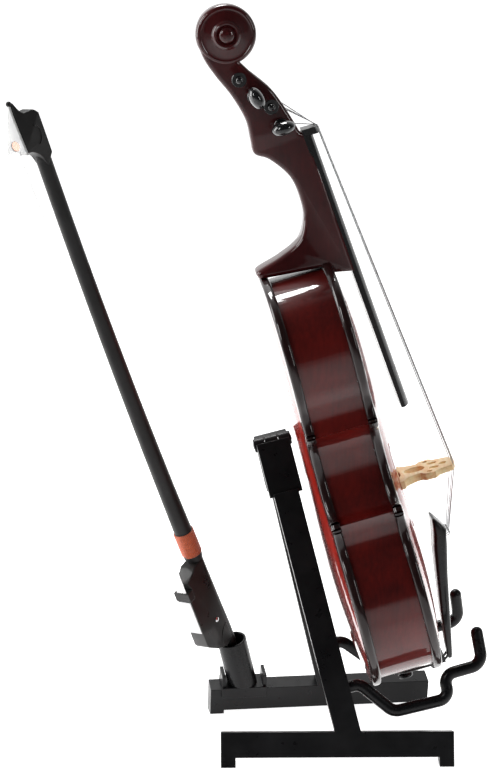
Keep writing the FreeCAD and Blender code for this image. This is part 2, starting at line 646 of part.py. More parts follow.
def x_cylinder(radius, start_x, end_x):
    return Part.makeCylinder(radius, end_x - start_x, V(start_x, 0, 0), V(1, 0, 0))


def side_frame(side):
    """One leg with its knuckles, foot bar and two feet."""
    bar = bar_strip(-BAR_BACK, BAR_FRONT, FOOT_HEIGHT, FOOT_HEIGHT + BAR_HEIGHT)
    feet = [
        bar_strip(start, start + FOOT_LENGTH, -FOOT_HEIGHT, FOOT_HEIGHT)
        for start in (-BAR_BACK, BAR_FRONT - FOOT_LENGTH)
    ]
    frame = to_stand(leg_blank().multiFuse([bar] + feet), side)
    frame = frame.common(level_slab(FLOOR_LEVEL, 2 * HINGE_HEIGHT_ALONG_LEAN))
    for start, end in knuckle_bands(-side):
        room = x_cylinder(KNUCKLE_RADIUS + KNUCKLE_CLEARANCE, start - KNUCKLE_END_GAP, end + KNUCKLE_END_GAP)
        frame = frame.cut(to_stand(room, side))
    for start, end in knuckle_bands(side):
        frame = frame.fuse(to_stand(x_cylinder(KNUCKLE_RADIUS, start, end), side))
    bore = PIN_RADIUS if side < 0 else PIN_RADIUS + PIN_CLEARANCE
    frame = frame.cut(to_stand(x_cylinder(bore, 2 * KNUCKLE_EDGES[0], 2 * KNUCKLE_EDGES[3]), side))
    return frame.cut(to_stand(arm_blank(), side)).removeSplitter()


def arm_blank():
    """Bent rod that carries one side of the cello: down from the leg, along, up, forward and up again."""
    y = LEG_THICKNESS / 2
    points = [V(x, y, z) for x, z in (*ARM_POINTS, ARM_END)]
    edges = []
    here = points[0]
    for corner, following in zip(points[1:-1], points[2:]):
        before = (here - corner).normalize()
        after = (following - corner).normalize()
        half_turn = before.getAngle(after) / 2
        setback = min(ARM_BEND / math.tan(half_turn), 0.45 * (here - corner).Length + 2)
        radius = setback * math.tan(half_turn)
        start, end = corner + before * setback, corner + after * setback
        centre = corner + (before + after).normalize() * (radius / math.sin(half_turn))
        middle = centre + (corner - centre).normalize() * radius
        edges.append(Part.LineSegment(here, start).toShape())
        edges.append(Part.Arc(start, middle, end).toShape())
        here = end
    edges.append(Part.LineSegment(here, points[-1]).toShape())
    path = Part.Wire(edges)
    circle = Part.Wire(Part.Circle(points[0], points[1] - points[0], ARM_RADIUS).toShape())
    tube = path.makePipeShell([circle], True, False)
    return tube.fuse(Part.makeSphere(ARM_RADIUS, points[-1]))


def hinge_pin():
    pin = x_cylinder(PIN_RADIUS, KNUCKLE_EDGES[0] - 0.3, KNUCKLE_EDGES[3] + 0.3)
    return to_stand(pin, -1)


def bow_tube():
    """Open tube that stands on the saddle and leans with the leg."""
    y = LEG_THICKNESS / 2
    base, up = V(TUBE["x"], y, TUBE["top"] - TUBE["reach"]), V(0, 0, 1)
    reach = TUBE["reach"]
    seat = FOOT_HEIGHT + BAR_HEIGHT + SADDLE["wall"]
    around = 2 * TUBE["outer"]
    outside = Part.makeCylinder(TUBE["outer"], reach, base, up)
    outside = outside.common(bar_strip(-reach, reach, seat, reach, -around, around))
    bore = Part.makeCylinder(TUBE["inner"], reach, base, up)
    bore = bore.common(bar_strip(-reach, reach, seat + TUBE["floor"], reach, -around, around))
    return to_stand(outside.cut(bore), 1)


def tube_saddle():
    """Clip over the foot bar that holds the tube: a cap, two skirts and two upright tabs."""
    wall, half = SADDLE["wall"], SADDLE["half_length"]
    top = FOOT_HEIGHT + BAR_HEIGHT
    centre = (TUBE["x"] - top * math.sin(bar_slope())) / math.cos(bar_slope())
    start, end = centre - half, centre + half
    cap = bar_strip(start, end, top - SADDLE["skirt"], top + wall, INNER_GAP - wall, LEG_THICKNESS + wall)
    cap = cap.cut(bar_strip(start, end, 0, top))
    tabs = [
        bar_strip(place, place + SADDLE["tab_thick"], top, top + SADDLE["tab"])
        for place in (start, end - SADDLE["tab_thick"])
    ]
    return to_stand(cap.multiFuse(tabs).removeSplitter(), 1)


# ---------------------------------------------------------------- bow
def bow_placement():
    """Puts the bow frame in the tube's mouth: leaning back and inward, the hair turned to the bass side."""
    lean_back, lean_side = math.radians(BOW_LEAN_BACK), math.radians(BOW_LEAN_SIDE)
    up = V(-math.tan(lean_back), -math.tan(lean_side), 1).normalize()
    back = (V(-1, 0, 0) - up * up.dot(V(-1, 0, 0))).normalize()
    hair = FreeCAD.Rotation(up, BOW_ROLL).multVec(back)
    across = up.cross(hair)
    return FreeCAD.Placement(FreeCAD.Matrix(
        hair.x, across.x, up.x, BOW_MOUTH.x,
        hair.y, across.y, up.y, BOW_MOUTH.y,
        hair.z, across.z, up.z, BOW_MOUTH.z,
    ))


def camber(z):
    """How far the stick's centre bends towards the hair at a height."""
    middle = STICK_LENGTH / 2
    return STICK_CAMBER * (1 - ((z - middle) / middle) ** 2)


def stick_core():
    """Round tapered stick with its camber."""
    wires = [
        Part.Wire(Part.Circle(V(camber(z), 0, z), V(0, 0, 1), radius).toShape())
        for z, radius in STICK_SECTIONS
    ]
    return Part.makeLoft(wires, True, False)


def bow_stick():
    """Stick with its head and beak, and the plain end that stands in the tube."""
    low, high = TIP_PLATE["low"], TIP_PLATE["high"]
    profile = [(-2.2, 217.0), (-1.6, 220.8), (4.4, 224.2), (5.6, 226.6), high, low, (6.4, 210.6), (3.0, 207.0)]
    head = side_prism(profile, HEAD_HALF)
    ball = Part.makeSphere(BEAK_RADIUS, V(high[0] - 0.3, 0, high[1]))
    foot = V(0, 0, -STICK_END["length"])
    end = Part.makeCylinder(STICK_END["radius"], STICK_END["length"] + 1, foot, V(0, 0, 1))
    return stick_core().multiFuse([head, ball, end]).removeSplitter()


def tip_plate():
    """Pale plate on the face of the head, pointed at the beak, with the hair's hole near its wide end."""
    low, high, half = TIP_PLATE["low"], TIP_PLATE["high"], TIP_PLATE["half"]
    point = TIP_PLATE["point"]
    outline = [V(low[0], -half, low[1]), V(low[0], half, low[1])]
    outline += [V(high[0], point, high[1]), V(high[0], -point, high[1])]
    outward = plate_outward()
    plate = Part.Face(closed_wire(outline)).extrude(outward * TIP_PLATE["thickness"])
    return plate.cut(Part.makeCylinder(PLUG["radius"], 4 * PLUG["radius"], plug_centre() - outward, outward))


def plate_outward():
    low, high = TIP_PLATE["low"], TIP_PLATE["high"]
    along = V(high[0] - low[0], 0, high[1] - low[1]).normalize()
    return V(along.z, 0, -along.x)


def plug_centre():
    """Centre of the hair's hole on the head's face."""
    low, high = TIP_PLATE["low"], TIP_PLATE["high"]
    share = PLUG["from_low"] / math.hypot(high[0] - low[0], high[1] - low[1])
    return V(low[0] + share * (high[0] - low[0]), 0, low[1] + share * (high[1] - low[1]))


def hair_plug():
    return Part.makeCylinder(PLUG["radius"], TIP_PLATE["thickness"] - 0.2, plug_centre(), plate_outward())


def hair_ribbon():
    """Flat band of hair from the ferrule to the head's face, and along the face to the plug."""
    lift = TIP_PLATE["thickness"] + 0.05
    frog_end = V(FROG["height"] - 0.5, 0, FERRULE["from"] + FERRULE["length"])
    edge = V(TIP_PLATE["low"][0], 0, TIP_PLATE["low"][1]) + plate_outward() * lift
    plug = plug_centre() + plate_outward() * lift
    inner = [(p.x, p.z) for p in (frog_end, edge, plug)]
    outer = [(x + HAIR["thickness"], z) for x, z in reversed(inner)]
    return side_prism(inner + outer, HAIR["half"])


def frog_parts():
    """Frog with its pearl slide, ferrule and eyes."""
    height, half = FROG["height"], FROG["half"]
    start, length = FERRULE["from"], FERRULE["length"]
    seat = height - FERRULE["depth"]
    profile = [(0.5, 2.5), (4.5, 1.4), (9.3, 3.9), (height - 0.7, 7.3), (height, 8.6), (height, start)]
    profile += [(seat, start), (seat, start + length), (12.3, 35.6), (8.0, 37.2), (6.2, 38.4), (0.5, 38.4)]
    frog = side_prism(profile, half).cut(stick_core())
    slide_half, ferrule_half, lip = half - SLIDE["margin"], half + FERRULE["lip"], FERRULE["gap"]
    slide_low = V(height, -slide_half, SLIDE["from"])
    slide = box_between(slide_low, V(height + SLIDE["thickness"], slide_half, start - 4 * lip))
    ferrule_low = V(seat, -ferrule_half, start + lip)
    ferrule = box_between(ferrule_low, V(height + 0.3, ferrule_half, start + length - lip))
    rise = EYE["half_length"]
    eyes = [
        y_cylinder(EYE["radius"], side * half - rise, side * half + rise, EYE["centre"])
        for side in (-1, 1)
    ]
    for eye in eyes:
        frog = frog.cut(eye)
    return {
        "bow_frog": frog,
        "frog_slide": slide,
        "frog_ferrule": ferrule,
        "frog_eyes": Part.makeCompound(eyes),
    }


def bow_winding():
    """Thread wound in a tight band round the stick above the frog."""
    circles = [
        Part.Wire(Part.Circle(V(camber(z), 0, z), V(0, 0, 1), WINDING["radius"]).toShape())
        for z in (WINDING["from"], WINDING["to"])
    ]
    return Part.makeLoft(circles, True, True).cut(stick_core())


# ---------------------------------------------------------------- assembly
def cut_from(nodes, names, cutters):
    """Takes room for the cutter nodes out of the named nodes."""
    for name in names:
        nodes[name] = nodes[name].cut([nodes[cutter] for cutter in cutters])


def cello_nodes():
    nodes = {}
    nodes.update(plates())
    nodes.update(ribs())
    nodes.update(blocks())
    nodes["neck_and_scroll"] = neck_and_scroll()
    nodes["fingerboard"] = fingerboard()
    nodes["nut"] = nut()
    nodes["bridge"] = bridge()
    nodes.update(end_fittings())
    nodes["tailpiece"] = tailpiece()
    for index, name in enumerate(STRING_NAMES):
        nodes[name + "_string"] = string(index)
        nodes[name + "_peg"] = peg(name)
    strings = [name + "_string" for name in STRING_NAMES]
    cut_from(nodes, ["neck_and_scroll", "bridge", "saddle"], ["top_plate"])
    cut_from(nodes, ["neck_and_scroll"], ["nut", "fingerboard"])
    cut_from(nodes, ["nut", "bridge", "tailpiece"], strings)
    cut_from(nodes, ["lower_rib", "bottom_block", "tailgut"], ["end_button"])
    cut_from(nodes, ["saddle", "tailpiece"], ["tailgut"])
    for shape in nodes.values():
        shape.rotate(V(0, 0, 0), V(0, 1, 0), -CELLO_LEAN)
        shape.translate(CELLO_ORIGIN)
    return nodes


def stand_nodes():
    nodes = {"bow_tube": bow_tube(), "tube_saddle": tube_saddle(), "hinge_pin": hinge_pin()}
    for side, name in ((-1, "bass"), (1, "treble")):
        nodes[name + "_side_frame"] = side_frame(side)
        nodes[name + "_cradle_arm"] = to_stand(arm_blank(), side)
    return nodes


def bow_nodes():
    nodes = {"bow_stick": bow_stick(), "bow_tip_plate": tip_plate(), "bow_hair": hair_ribbon()}
    nodes["bow_winding"] = bow_winding()
    nodes["hair_plug"] = hair_plug()
    nodes.update(frog_parts())
    cut_from(nodes, ["bow_tip_plate"], ["bow_stick"])
    cut_from(nodes, ["bow_hair"], ["bow_tip_plate", "hair_plug"])
    placement = bow_placement()
    for shape in nodes.values():
        shape.Placement = placement.multiply(shape.Placement)
    return nodes


def main():
    os.makedirs("parts", exist_ok=True)
    nodes = {}
    nodes.update(cello_nodes())
    nodes.update(stand_nodes())
    nodes.update(bow_nodes())
    for name, shape in nodes.items():
        shape.translate(FLOOR_SHIFT)
        shape.exportStep(f"parts/{name}.step")
        print(name, shape.ShapeType, len(shape.Solids), shape.isValid(), round(shape.Volume, 1))


main()
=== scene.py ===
"""Looks of the miniature cello on its folding stand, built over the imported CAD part.

The row frame is in metres; each sub-frame is in millimetres, and MM is one millimetre.
"""
import json
import math
import random

import bmesh
import bpy
import numpy as np
from mathutils import Matrix, Quaternion, Vector
from mathutils.geometry import delaunay_2d_cdt

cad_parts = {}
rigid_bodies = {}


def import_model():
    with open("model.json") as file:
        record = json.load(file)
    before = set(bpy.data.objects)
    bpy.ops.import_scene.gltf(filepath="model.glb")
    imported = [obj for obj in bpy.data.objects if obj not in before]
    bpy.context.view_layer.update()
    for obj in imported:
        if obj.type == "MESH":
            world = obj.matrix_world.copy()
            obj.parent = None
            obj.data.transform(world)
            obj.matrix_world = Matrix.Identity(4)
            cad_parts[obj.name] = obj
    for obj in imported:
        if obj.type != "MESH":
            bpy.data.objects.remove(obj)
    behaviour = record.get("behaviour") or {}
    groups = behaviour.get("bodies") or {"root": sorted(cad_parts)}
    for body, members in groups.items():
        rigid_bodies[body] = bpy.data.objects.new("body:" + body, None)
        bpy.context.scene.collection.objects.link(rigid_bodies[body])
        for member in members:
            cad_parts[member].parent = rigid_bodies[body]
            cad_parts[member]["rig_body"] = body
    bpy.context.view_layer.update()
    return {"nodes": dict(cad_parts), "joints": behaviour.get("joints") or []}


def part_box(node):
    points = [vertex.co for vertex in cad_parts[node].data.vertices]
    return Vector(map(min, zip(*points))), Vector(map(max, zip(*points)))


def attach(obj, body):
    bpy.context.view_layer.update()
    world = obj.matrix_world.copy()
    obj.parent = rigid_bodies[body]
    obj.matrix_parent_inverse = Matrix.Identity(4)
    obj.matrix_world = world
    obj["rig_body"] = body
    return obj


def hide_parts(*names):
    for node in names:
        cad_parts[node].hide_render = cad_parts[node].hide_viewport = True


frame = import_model()

# Metres and radians
MM = 0.001
WELD = 2e-6
CELLO_LEAN = math.radians(15.2)
STAND_LEAN = math.radians(13.75)
LEG_SPLAY = math.radians(14.85)
BOW_ROLL = math.radians(52.7)

# Body, in the cello's sub-frame; lengths are in millimetres from here to the camera
BODY_DEPTH = 25.3
PLATE_EDGE = 3.3
BELLY_ARCH = 4.8
BACK_ARCH = 3.3
RIM_TOLERANCE = 0.03
OUTLINE_SPACING = 0.8
ROLLED_EDGE = 1.3
EDGE_PROFILE = (
    (0.75, 0.07), (0.35, 0.32), (0.08, 0.75), (0.0, 1.2), (0.0, 2.1), (0.08, 2.55), (0.35, 2.98),
    (0.75, 3.23),
)
SHEET_CELL = 1.6
HOLE_GAP = 0.7
FILM_CELL = 1.0
FILM_CHANNEL = 3.2
FILM_ROUNDS = 4000
FILM_FULLNESS = 0.9
F_HOLE_LINE = (
    (8.3, 85.2), (10.6, 87.4), (12.9, 85.6), (13.6, 80.0), (13.8, 73.3), (14.1, 66.6), (14.9, 61.2),
    (17.2, 58.8), (19.6, 60.6),
)
F_HOLE_HALF = 0.62
F_HOLE_SWELL = 0.75
F_HOLE_END = 0.9
F_HOLE_EYE_SHARE = 0.16

# Neck, pegs and strings
NECK_HALVES = ((148, 7.0), (160, 5.6), (198, 4.2), (203, 4.6), (214, 4.6), (236, 4.0))
NECK_SLAB_HALF = 5.0
PEGBOX_INNER_HALF = 2.9
SCROLL_CENTRE = (11.2, 0, 239.4)
STRINGS = ("c", "g", "d", "a")
PEG_CENTRES = {"a": (19.6, 211.6), "d": (21.3, 204.4), "g": (15.1, 216.7), "c": (11.4, 223.5)}
PEG_SIDES = {"a": 1, "d": -1, "g": -1, "c": 1}
PEG_TURNS = {"a": 20.0, "d": 88.0, "g": -14.0, "c": 60.0}
PEG_FACETS = 48
# Distance along the peg, then the half sizes across its flat head
PEG_STATIONS = (
    (-7.3, 0.1, 0.1), (-7.2, 0.8, 0.8), (-6.8, 1.2, 1.2), (-6.0, 1.38, 1.38), (6.0, 1.38, 1.38),
    (6.1, 1.88, 1.88), (6.7, 1.88, 1.88), (6.85, 1.4, 1.4), (7.6, 1.15, 1.05), (8.4, 1.7, 1.15),
    (9.2, 2.9, 1.6), (10.2, 3.75, 2.1), (11.4, 4.15, 2.4), (12.6, 4.15, 2.45), (13.8, 3.8, 2.3),
    (14.9, 3.0, 1.8), (15.6, 1.9, 1.15), (15.9, 0.9, 0.5), (15.95, 0.05, 0.05),
)
STRING_AT_PEG = (-1.6, -0.6, 0.6, 1.6)
STRING_COIL = 1.63
STRING_RADIUS = 0.17
NUT_SPACING = 1.9
BRIDGE_SPACING = 3.3
TAIL_SPACING = 2.4

# Fittings
BRIDGE_Z = 72.0
# Height along the body, underside, face and half width
TAILPIECE_STATIONS = (
    (55.5, 36.4, 37.3, 5.2), (54.6, 36.3, 38.0, 5.9), (52.6, 36.1, 39.4, 6.3), (50.5, 35.8, 40.6, 6.4),
    (44.0, 34.4, 39.4, 6.0), (34.0, 32.9, 37.1, 5.1), (22.0, 31.2, 34.8, 4.1), (10.0, 29.9, 32.5, 3.2),
    (4.6, 29.4, 31.4, 2.6), (3.3, 29.7, 31.0, 2.0),
)
BUTTON_PROFILE = (
    (0.05, 0.3), (1.9, 0.35), (2.4, 0.5), (2.65, 0.85), (2.65, 1.35), (2.4, 1.75), (1.8, 1.9), (1.5, 2.2),
    (1.5, 11.9), (0.05, 11.9),
)

# Stand, in a leg's sub-frame
LEG_MIDDLE = 4.0
ARM_RADIUS = 2.15
ARM_BEND = 4.5
ARM_POINTS = (
    (-2.0, -89.8), (8.1, -89.6), (17.3, -101.9), (37.4, -102.3), (37.4, -94.0), (51.6, -93.7), (52.4, -82.6),
)

# Bow, in its own sub-frame
STICK_LENGTH = 219.0
STICK_CAMBER = 2.5
# Height along the stick and radius
STICK_SECTIONS = (
    (-7.9, 2.35), (-0.2, 2.4), (0.0, 2.75), (8.0, 2.9), (38.2, 2.95), (39.4, 3.4), (70.0, 3.1),
    (107.0, 2.9), (160.0, 2.7), (219.0, 2.6),
)
HEAD_HALF = 2.7
BEAK_RADIUS = 0.95
TIP_PLATE_HALF = 0.45
FROG_HALF = 3.1
WINDING_MIDDLE = 46.3
WINDING_BEND = 1.667
HAIR_COUNT = 42
HAIR_HALF = 1.95

# Camera: metres and radians, with the lens in millimetres
CAMERA_TARGET = Vector((0.0002, 0.0023, 0.1286))
CAMERA_AZIMUTH = math.radians(4.6)
CAMERA_ELEVATION = math.radians(11.38)
CAMERA_DISTANCE = 1.0487
CAMERA_LENS = 140.26
JOINTS = {joint["name"]: joint for joint in frame["joints"]}


# ------------------------------------------------------------------ frames
def placement(x_axis, y_axis, z_axis, origin, unit=MM):
    """Matrix out of a sub-frame; unit is one of its lengths, by default a millimetre in metres."""
    matrix = Matrix.Identity(4)
    for column, axis in enumerate((x_axis, y_axis, z_axis)):
        for row in range(3):
            matrix[row][column] = axis[row] * unit
    for row in range(3):
        matrix[row][3] = origin[row]
    return matrix


def cello_frame():
    """x out of the belly, y to the treble side, z up the body, found from the a string's peg."""
    sin, cos = math.sin(CELLO_LEAN), math.cos(CELLO_LEAN)
    x_axis, z_axis = Vector((cos, 0, sin)), Vector((-sin, 0, cos))
    peg_x, peg_z = PEG_CENTRES["a"]
    origin = Vector(JOINTS["a_peg_turn"]["pos_m"]) - (x_axis * peg_x + z_axis * peg_z) * MM
    return placement(x_axis, Vector((0, 1, 0)), z_axis, origin)


def side_frame(side):
    """x along the hinge pin, y outward through the leg, z up the leg, zero on the pin."""
    lean_sin, lean_cos = math.sin(STAND_LEAN), math.cos(STAND_LEAN)
    splay_sin, splay_cos = math.sin(LEG_SPLAY), math.cos(LEG_SPLAY)
    x_axis = Vector((lean_cos, 0, lean_sin))
    y_axis = Vector((-lean_sin * splay_sin, side * splay_cos, lean_cos * splay_sin))
    z_axis = Vector((-lean_sin * splay_cos, -side * splay_sin, lean_cos * splay_cos))
    return placement(x_axis, y_axis, z_axis, Vector(JOINTS["stand_fold"]["pos_m"]))


def bow_frame():
    """x towards the hair, z up the stick, zero at the mouth of the tube."""
    up = Vector(JOINTS["bow_lift"]["axis"]).normalized()
    back = (Vector((-1, 0, 0)) - up * up.dot(Vector((-1, 0, 0)))).normalized()
    hair = Quaternion(up, BOW_ROLL) @ back
    ring_low, ring_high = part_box("bow_winding")
    middle = (ring_low + ring_high) / 2
    origin = middle - (hair * WINDING_BEND + up * WINDING_MIDDLE) * MM
    return placement(hair, up.cross(hair), up, origin)


CELLO = cello_frame()
BOW = bow_frame()


# ------------------------------------------------------------------ mesh helpers
def finish_mesh(obj, angle=35.0):
    """Smooth shading that keeps edges sharper than the angle."""
    for polygon in obj.data.polygons:
        polygon.use_smooth = True
    obj.data.set_sharp_from_angle(angle=math.radians(angle))
    return obj


def link(name, mesh, material):
    obj = bpy.data.objects.new(name, mesh)
    bpy.context.scene.collection.objects.link(obj)
    obj.data.materials.clear()
    obj.data.materials.append(material)
    return obj


def mesh_piece(name, vertices, faces, matrix, material, angle=35.0):
    """Mesh given in a sub-frame's millimetres, moved into the row frame."""
    mesh = bpy.data.meshes.new(name)
    mesh.from_pydata([matrix @ Vector(v) for v in vertices], [], faces)
    mesh.validate()
    made = bmesh.new()
    made.from_mesh(mesh)
    bmesh.ops.recalc_face_normals(made, faces=made.faces)
    made.to_mesh(mesh)
    made.free()
    return finish_mesh(link(name, mesh, material), angle)


def ring_faces(count, rings):
    """Quads between rings of points, and a cap on each end."""
    faces = []
    for row in range(rings - 1):
        for i in range(count):
            j = (i + 1) % count
            faces.append((row * count + i, row * count + j, (row + 1) * count + j, (row + 1) * count + i))
    faces.append(tuple(reversed(range(count))))
    faces.append(tuple(range((rings - 1) * count, rings * count)))
    return faces


def loft(name, rings, matrix, material, angle=35.0):
    vertices = [point for ring in rings for point in ring]
    return mesh_piece(name, vertices, ring_faces(len(rings[0]), len(rings)), matrix, material, angle)


def turned(name, profile, centre, axis, matrix, material, steps=64):
    """Round shape with (radius, distance along the axis) profile, about the sub-frame's y or z axis."""
    rings = []
    for radius, along in profile:
        ring = []
        for step in range(steps):
            turn = 2 * math.pi * step / steps
            u, v = radius * math.cos(turn), radius * math.sin(turn)
            offset = Vector((u, along, v)) if axis == "y" else Vector((u, v, along))
            ring.append(Vector(centre) + offset)
        rings.append(ring)
    return loft(name, rings, matrix, material)


def smooth_stroke(points, steps=8):
    """Catmull-Rom curve through the points."""
    points = [Vector(p) for p in points]
    if len(points) < 3:
        return points
    padded = [2 * points[0] - points[1]] + points + [2 * points[-1] - points[-2]]
    curve = []
    for a, b, c, d in zip(padded, padded[1:], padded[2:], padded[3:]):
        for step in range(steps):
            t = step / steps
            square = (2 * a - 5 * b + 4 * c - d) * t**2
            cube = (3 * b - a - 3 * c + d) * t**3
            curve.append(0.5 * (2 * b + (c - a) * t + square + cube))
    curve.append(points[-1])
    return curve


def ball_profile(radius, steps):
    """Profile of a ball for turned()."""
    turns = [math.pi * i / steps for i in range(steps + 1)]
    return [(radius * math.sin(turn) + 0.001, -radius * math.cos(turn)) for turn in turns]


def strokes(*parts):
    """Outline from several smooth strokes that meet in corners."""
    outline = []
    for part in parts:
        for point in smooth_stroke(part):
            if not outline or (outline[-1] - point).length > 1e-3:
                outline.append(point)
    if (outline[0] - outline[-1]).length < 1e-3:
        outline.pop()
    return outline


def curve_to_mesh(name, curve, matrix, material, angle=35.0):
    """Turns a curve made in millimetres into a mesh piece in the row frame."""
    holder = bpy.data.objects.new(name + "_curve", curve)
    bpy.context.scene.collection.objects.link(holder)
    bpy.context.view_layer.update()
    mesh = bpy.data.meshes.new_from_object(holder.evaluated_get(bpy.context.evaluated_depsgraph_get()))
    bpy.data.objects.remove(holder)
    mesh.name = name
    mesh.transform(matrix)
    if matrix.determinant() < 0:
        mesh.flip_normals()
    made = bmesh.new()
    made.from_mesh(mesh)
    bmesh.ops.remove_doubles(made, verts=made.verts, dist=1e-7)
    bmesh.ops.recalc_face_normals(made, faces=made.faces)
    made.to_mesh(mesh)
    made.free()
    return finish_mesh(link(name, mesh, material), angle)


def add_loop(curve, points, cyclic):
    spline = curve.splines.new("POLY")
    spline.points.add(len(points) - 1)
    for slot_point, point in zip(spline.points, points):
        slot_point.co = (point[0], point[1], point[2] if len(point) > 2 else 0.0, 1.0)
    spline.use_cyclic_u = cyclic


def slab(name, outline, half, bevel, matrix, material, holes=(), turn="xz"):
    """Flat piece with rounded edges, twice half thick; its outline lies in x and z, or x and y."""
    curve = bpy.data.curves.new(name, "CURVE")
    curve.dimensions = "2D"
    curve.fill_mode = "BOTH"
    curve.extrude = half - bevel
    curve.bevel_depth = bevel
    curve.offset = -bevel
    curve.bevel_resolution = 4
    for loop in (outline, *holes):
        add_loop(curve, [(p[0], p[1]) for p in loop], True)
    if turn == "xz":
        stand_up = Matrix(((1, 0, 0, 0), (0, 0, -1, 0), (0, 1, 0, 0), (0, 0, 0, 1)))
        matrix = matrix @ stand_up
    return curve_to_mesh(name, curve, matrix, material)


def tube(name, paths, radius, matrix, material, sides=5):
    """Round wires or rods along lists of points."""
    curve = bpy.data.curves.new(name, "CURVE")
    curve.dimensions = "3D"
    curve.bevel_depth = radius
    curve.bevel_resolution = sides
    curve.use_fill_caps = True
    for path in paths:
        add_loop(curve, path, False)
    return curve_to_mesh(name, curve, matrix, material, 60.0)


def rounded_path(points, radius, steps=10):
    """Straight runs joined by arcs."""
    points = [Vector(p) for p in points]
    path = [points[0]]
    for before, corner, after in zip(points, points[1:], points[2:]):
        to_before, to_after = (before - corner).normalized(), (after - corner).normalized()
        half_turn = to_before.angle(to_after) / 2
        room = 0.45 * min((before - corner).length, (after - corner).length)
        setback = min(radius / math.tan(half_turn), room)
        true_radius = setback * math.tan(half_turn)
        centre = corner + (to_before + to_after).normalized() * (true_radius / math.sin(half_turn))
        start, end = corner + to_before * setback - centre, corner + to_after * setback - centre
        for step in range(steps + 1):
            path.append(centre + start.slerp(end, step / steps).normalized() * true_radius)
    path.append(points[-1])
    return path


def ellipse(centre, half_u, half_v, turn=0.0, steps=28):
    cos, sin = math.cos(turn), math.sin(turn)
    loop = []
    for step in range(steps):
        angle = 2 * math.pi * step / steps
        u, v = half_u * math.cos(angle), half_v * math.sin(angle)
        loop.append((centre[0] + u * cos - v * sin, centre[1] + u * sin + v * cos))
    return loop


def refined(node, bevel, material, angle=35.0):
    """A CAD node's own shape with its edges rounded over."""
    mesh = frame["nodes"][node].data.copy()
    made = bmesh.new()
    made.from_mesh(mesh)
    bmesh.ops.remove_doubles(made, verts=made.verts, dist=WELD)
    bmesh.ops.dissolve_limit(
        made, angle_limit=math.radians(1.0), verts=made.verts, edges=made.edges, use_dissolve_boundaries=False
    )
    made.to_mesh(mesh)
    made.free()
    if "custom_normal" in mesh.attributes:
        mesh.attributes.remove(mesh.attributes["custom_normal"])
    obj = link(node + "_shown", mesh, material)
    if bevel:
        rounding = obj.modifiers.new("rounding", "BEVEL")
        rounding.width = bevel * MM
        rounding.segments = 3
        rounding.limit_method = "ANGLE"
        rounding.angle_limit = math.radians(angle)
        rounding.use_clamp_overlap = True
    finish_mesh(obj, angle)
    return obj


def cut_away(obj, cutter):
    """Takes the cutter's shape out of a piece."""
    step = obj.modifiers.new("cut", "BOOLEAN")
    step.operation = "DIFFERENCE"
    step.solver = "EXACT"
    step.object = cutter
    bpy.context.view_layer.update()
    mesh = bpy.data.meshes.new_from_object(obj.evaluated_get(bpy.context.evaluated_depsgraph_get()))
    obj.modifiers.clear()
    obj.data = mesh
    bpy.data.objects.remove(cutter)
    return finish_mesh(obj)


def shown(obj, slot, *nodes):
    """Lets a piece stand for CAD nodes and move with their body."""
    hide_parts(*nodes)
    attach(obj, frame["nodes"][nodes[0]]["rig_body"])
    return obj


def detail(obj, body):
    """Adds a piece that no CAD node holds."""
    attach(obj, body)
    return obj


# ------------------------------------------------------------------ materials
def material_base(name):
    """A node material with its shader and its points' coordinates in the row frame, in metres."""
    made = bpy.data.materials.new(name)
    made.use_nodes = True
    nodes, links = made.node_tree.nodes, made.node_tree.links
    shader = nodes["Principled BSDF"]
    where = nodes.new("ShaderNodeTexCoord")
    return made, nodes, links, shader, where.outputs["Object"]


def mapped(nodes, links, source, scale, rotation=(0, 0, 0)):
    mapping = nodes.new("ShaderNodeMapping")
    mapping.inputs["Scale"].default_value = scale
    mapping.inputs["Rotation"].default_value = rotation
    links.new(source, mapping.inputs["Vector"])
    return mapping.outputs["Vector"]


def noise(nodes, links, vector, scale, fineness, roughness=0.55):
    texture = nodes.new("ShaderNodeTexNoise")
    texture.inputs["Scale"].default_value = scale
    texture.inputs["Detail"].default_value = fineness
    texture.inputs["Roughness"].default_value = roughness
    links.new(vector, texture.inputs["Vector"])
    return texture.outputs["Fac"]


def ramp(nodes, links, source, stops):
    """Colours at positions along a value."""
    mixer = nodes.new("ShaderNodeValToRGB")
    elements = mixer.color_ramp.elements
    while len(elements) < len(stops):
        elements.new(0.5)
    for element, (position, colour) in zip(elements, stops):
        element.position = position
        element.color = (*colour, 1.0)
    links.new(source, mixer.inputs["Fac"])
    return mixer.outputs["Color"]


def level(nodes, links, source, low, high, low_out, high_out):
    """Maps a value from one range to another."""
    node = nodes.new("ShaderNodeMapRange")
    for name, value in (("From Min", low), ("From Max", high), ("To Min", low_out), ("To Max", high_out)):
        node.inputs[name].default_value = value
    links.new(source, node.inputs["Value"])
    return node.outputs["Result"]


def add_bump(nodes, links, shader, height, strength, distance):
    bump = nodes.new("ShaderNodeBump")
    bump.inputs["Strength"].default_value = strength
    bump.inputs["Distance"].default_value = distance
    links.new(height, bump.inputs["Height"])
    links.new(bump.outputs["Normal"], shader.inputs["Normal"])


def darker_rim(nodes, links, colour, edge):
    """Blends the edge colour in where a plate's point lies close to the body's outline."""
    rim = nodes.new("ShaderNodeAttribute")
    rim.attribute_name = "edge_distance"
    share = level(nodes, links, rim.outputs["Fac"], 1.6, 5.5, 1.0, 0.0)
    blend = nodes.new("ShaderNodeMix")
    blend.data_type = "RGBA"
    links.new(share, blend.inputs["Factor"])
    links.new(colour, blend.inputs["A"])
    blend.inputs["B"].default_value = (*edge, 1.0)
    return blend.outputs["Result"]


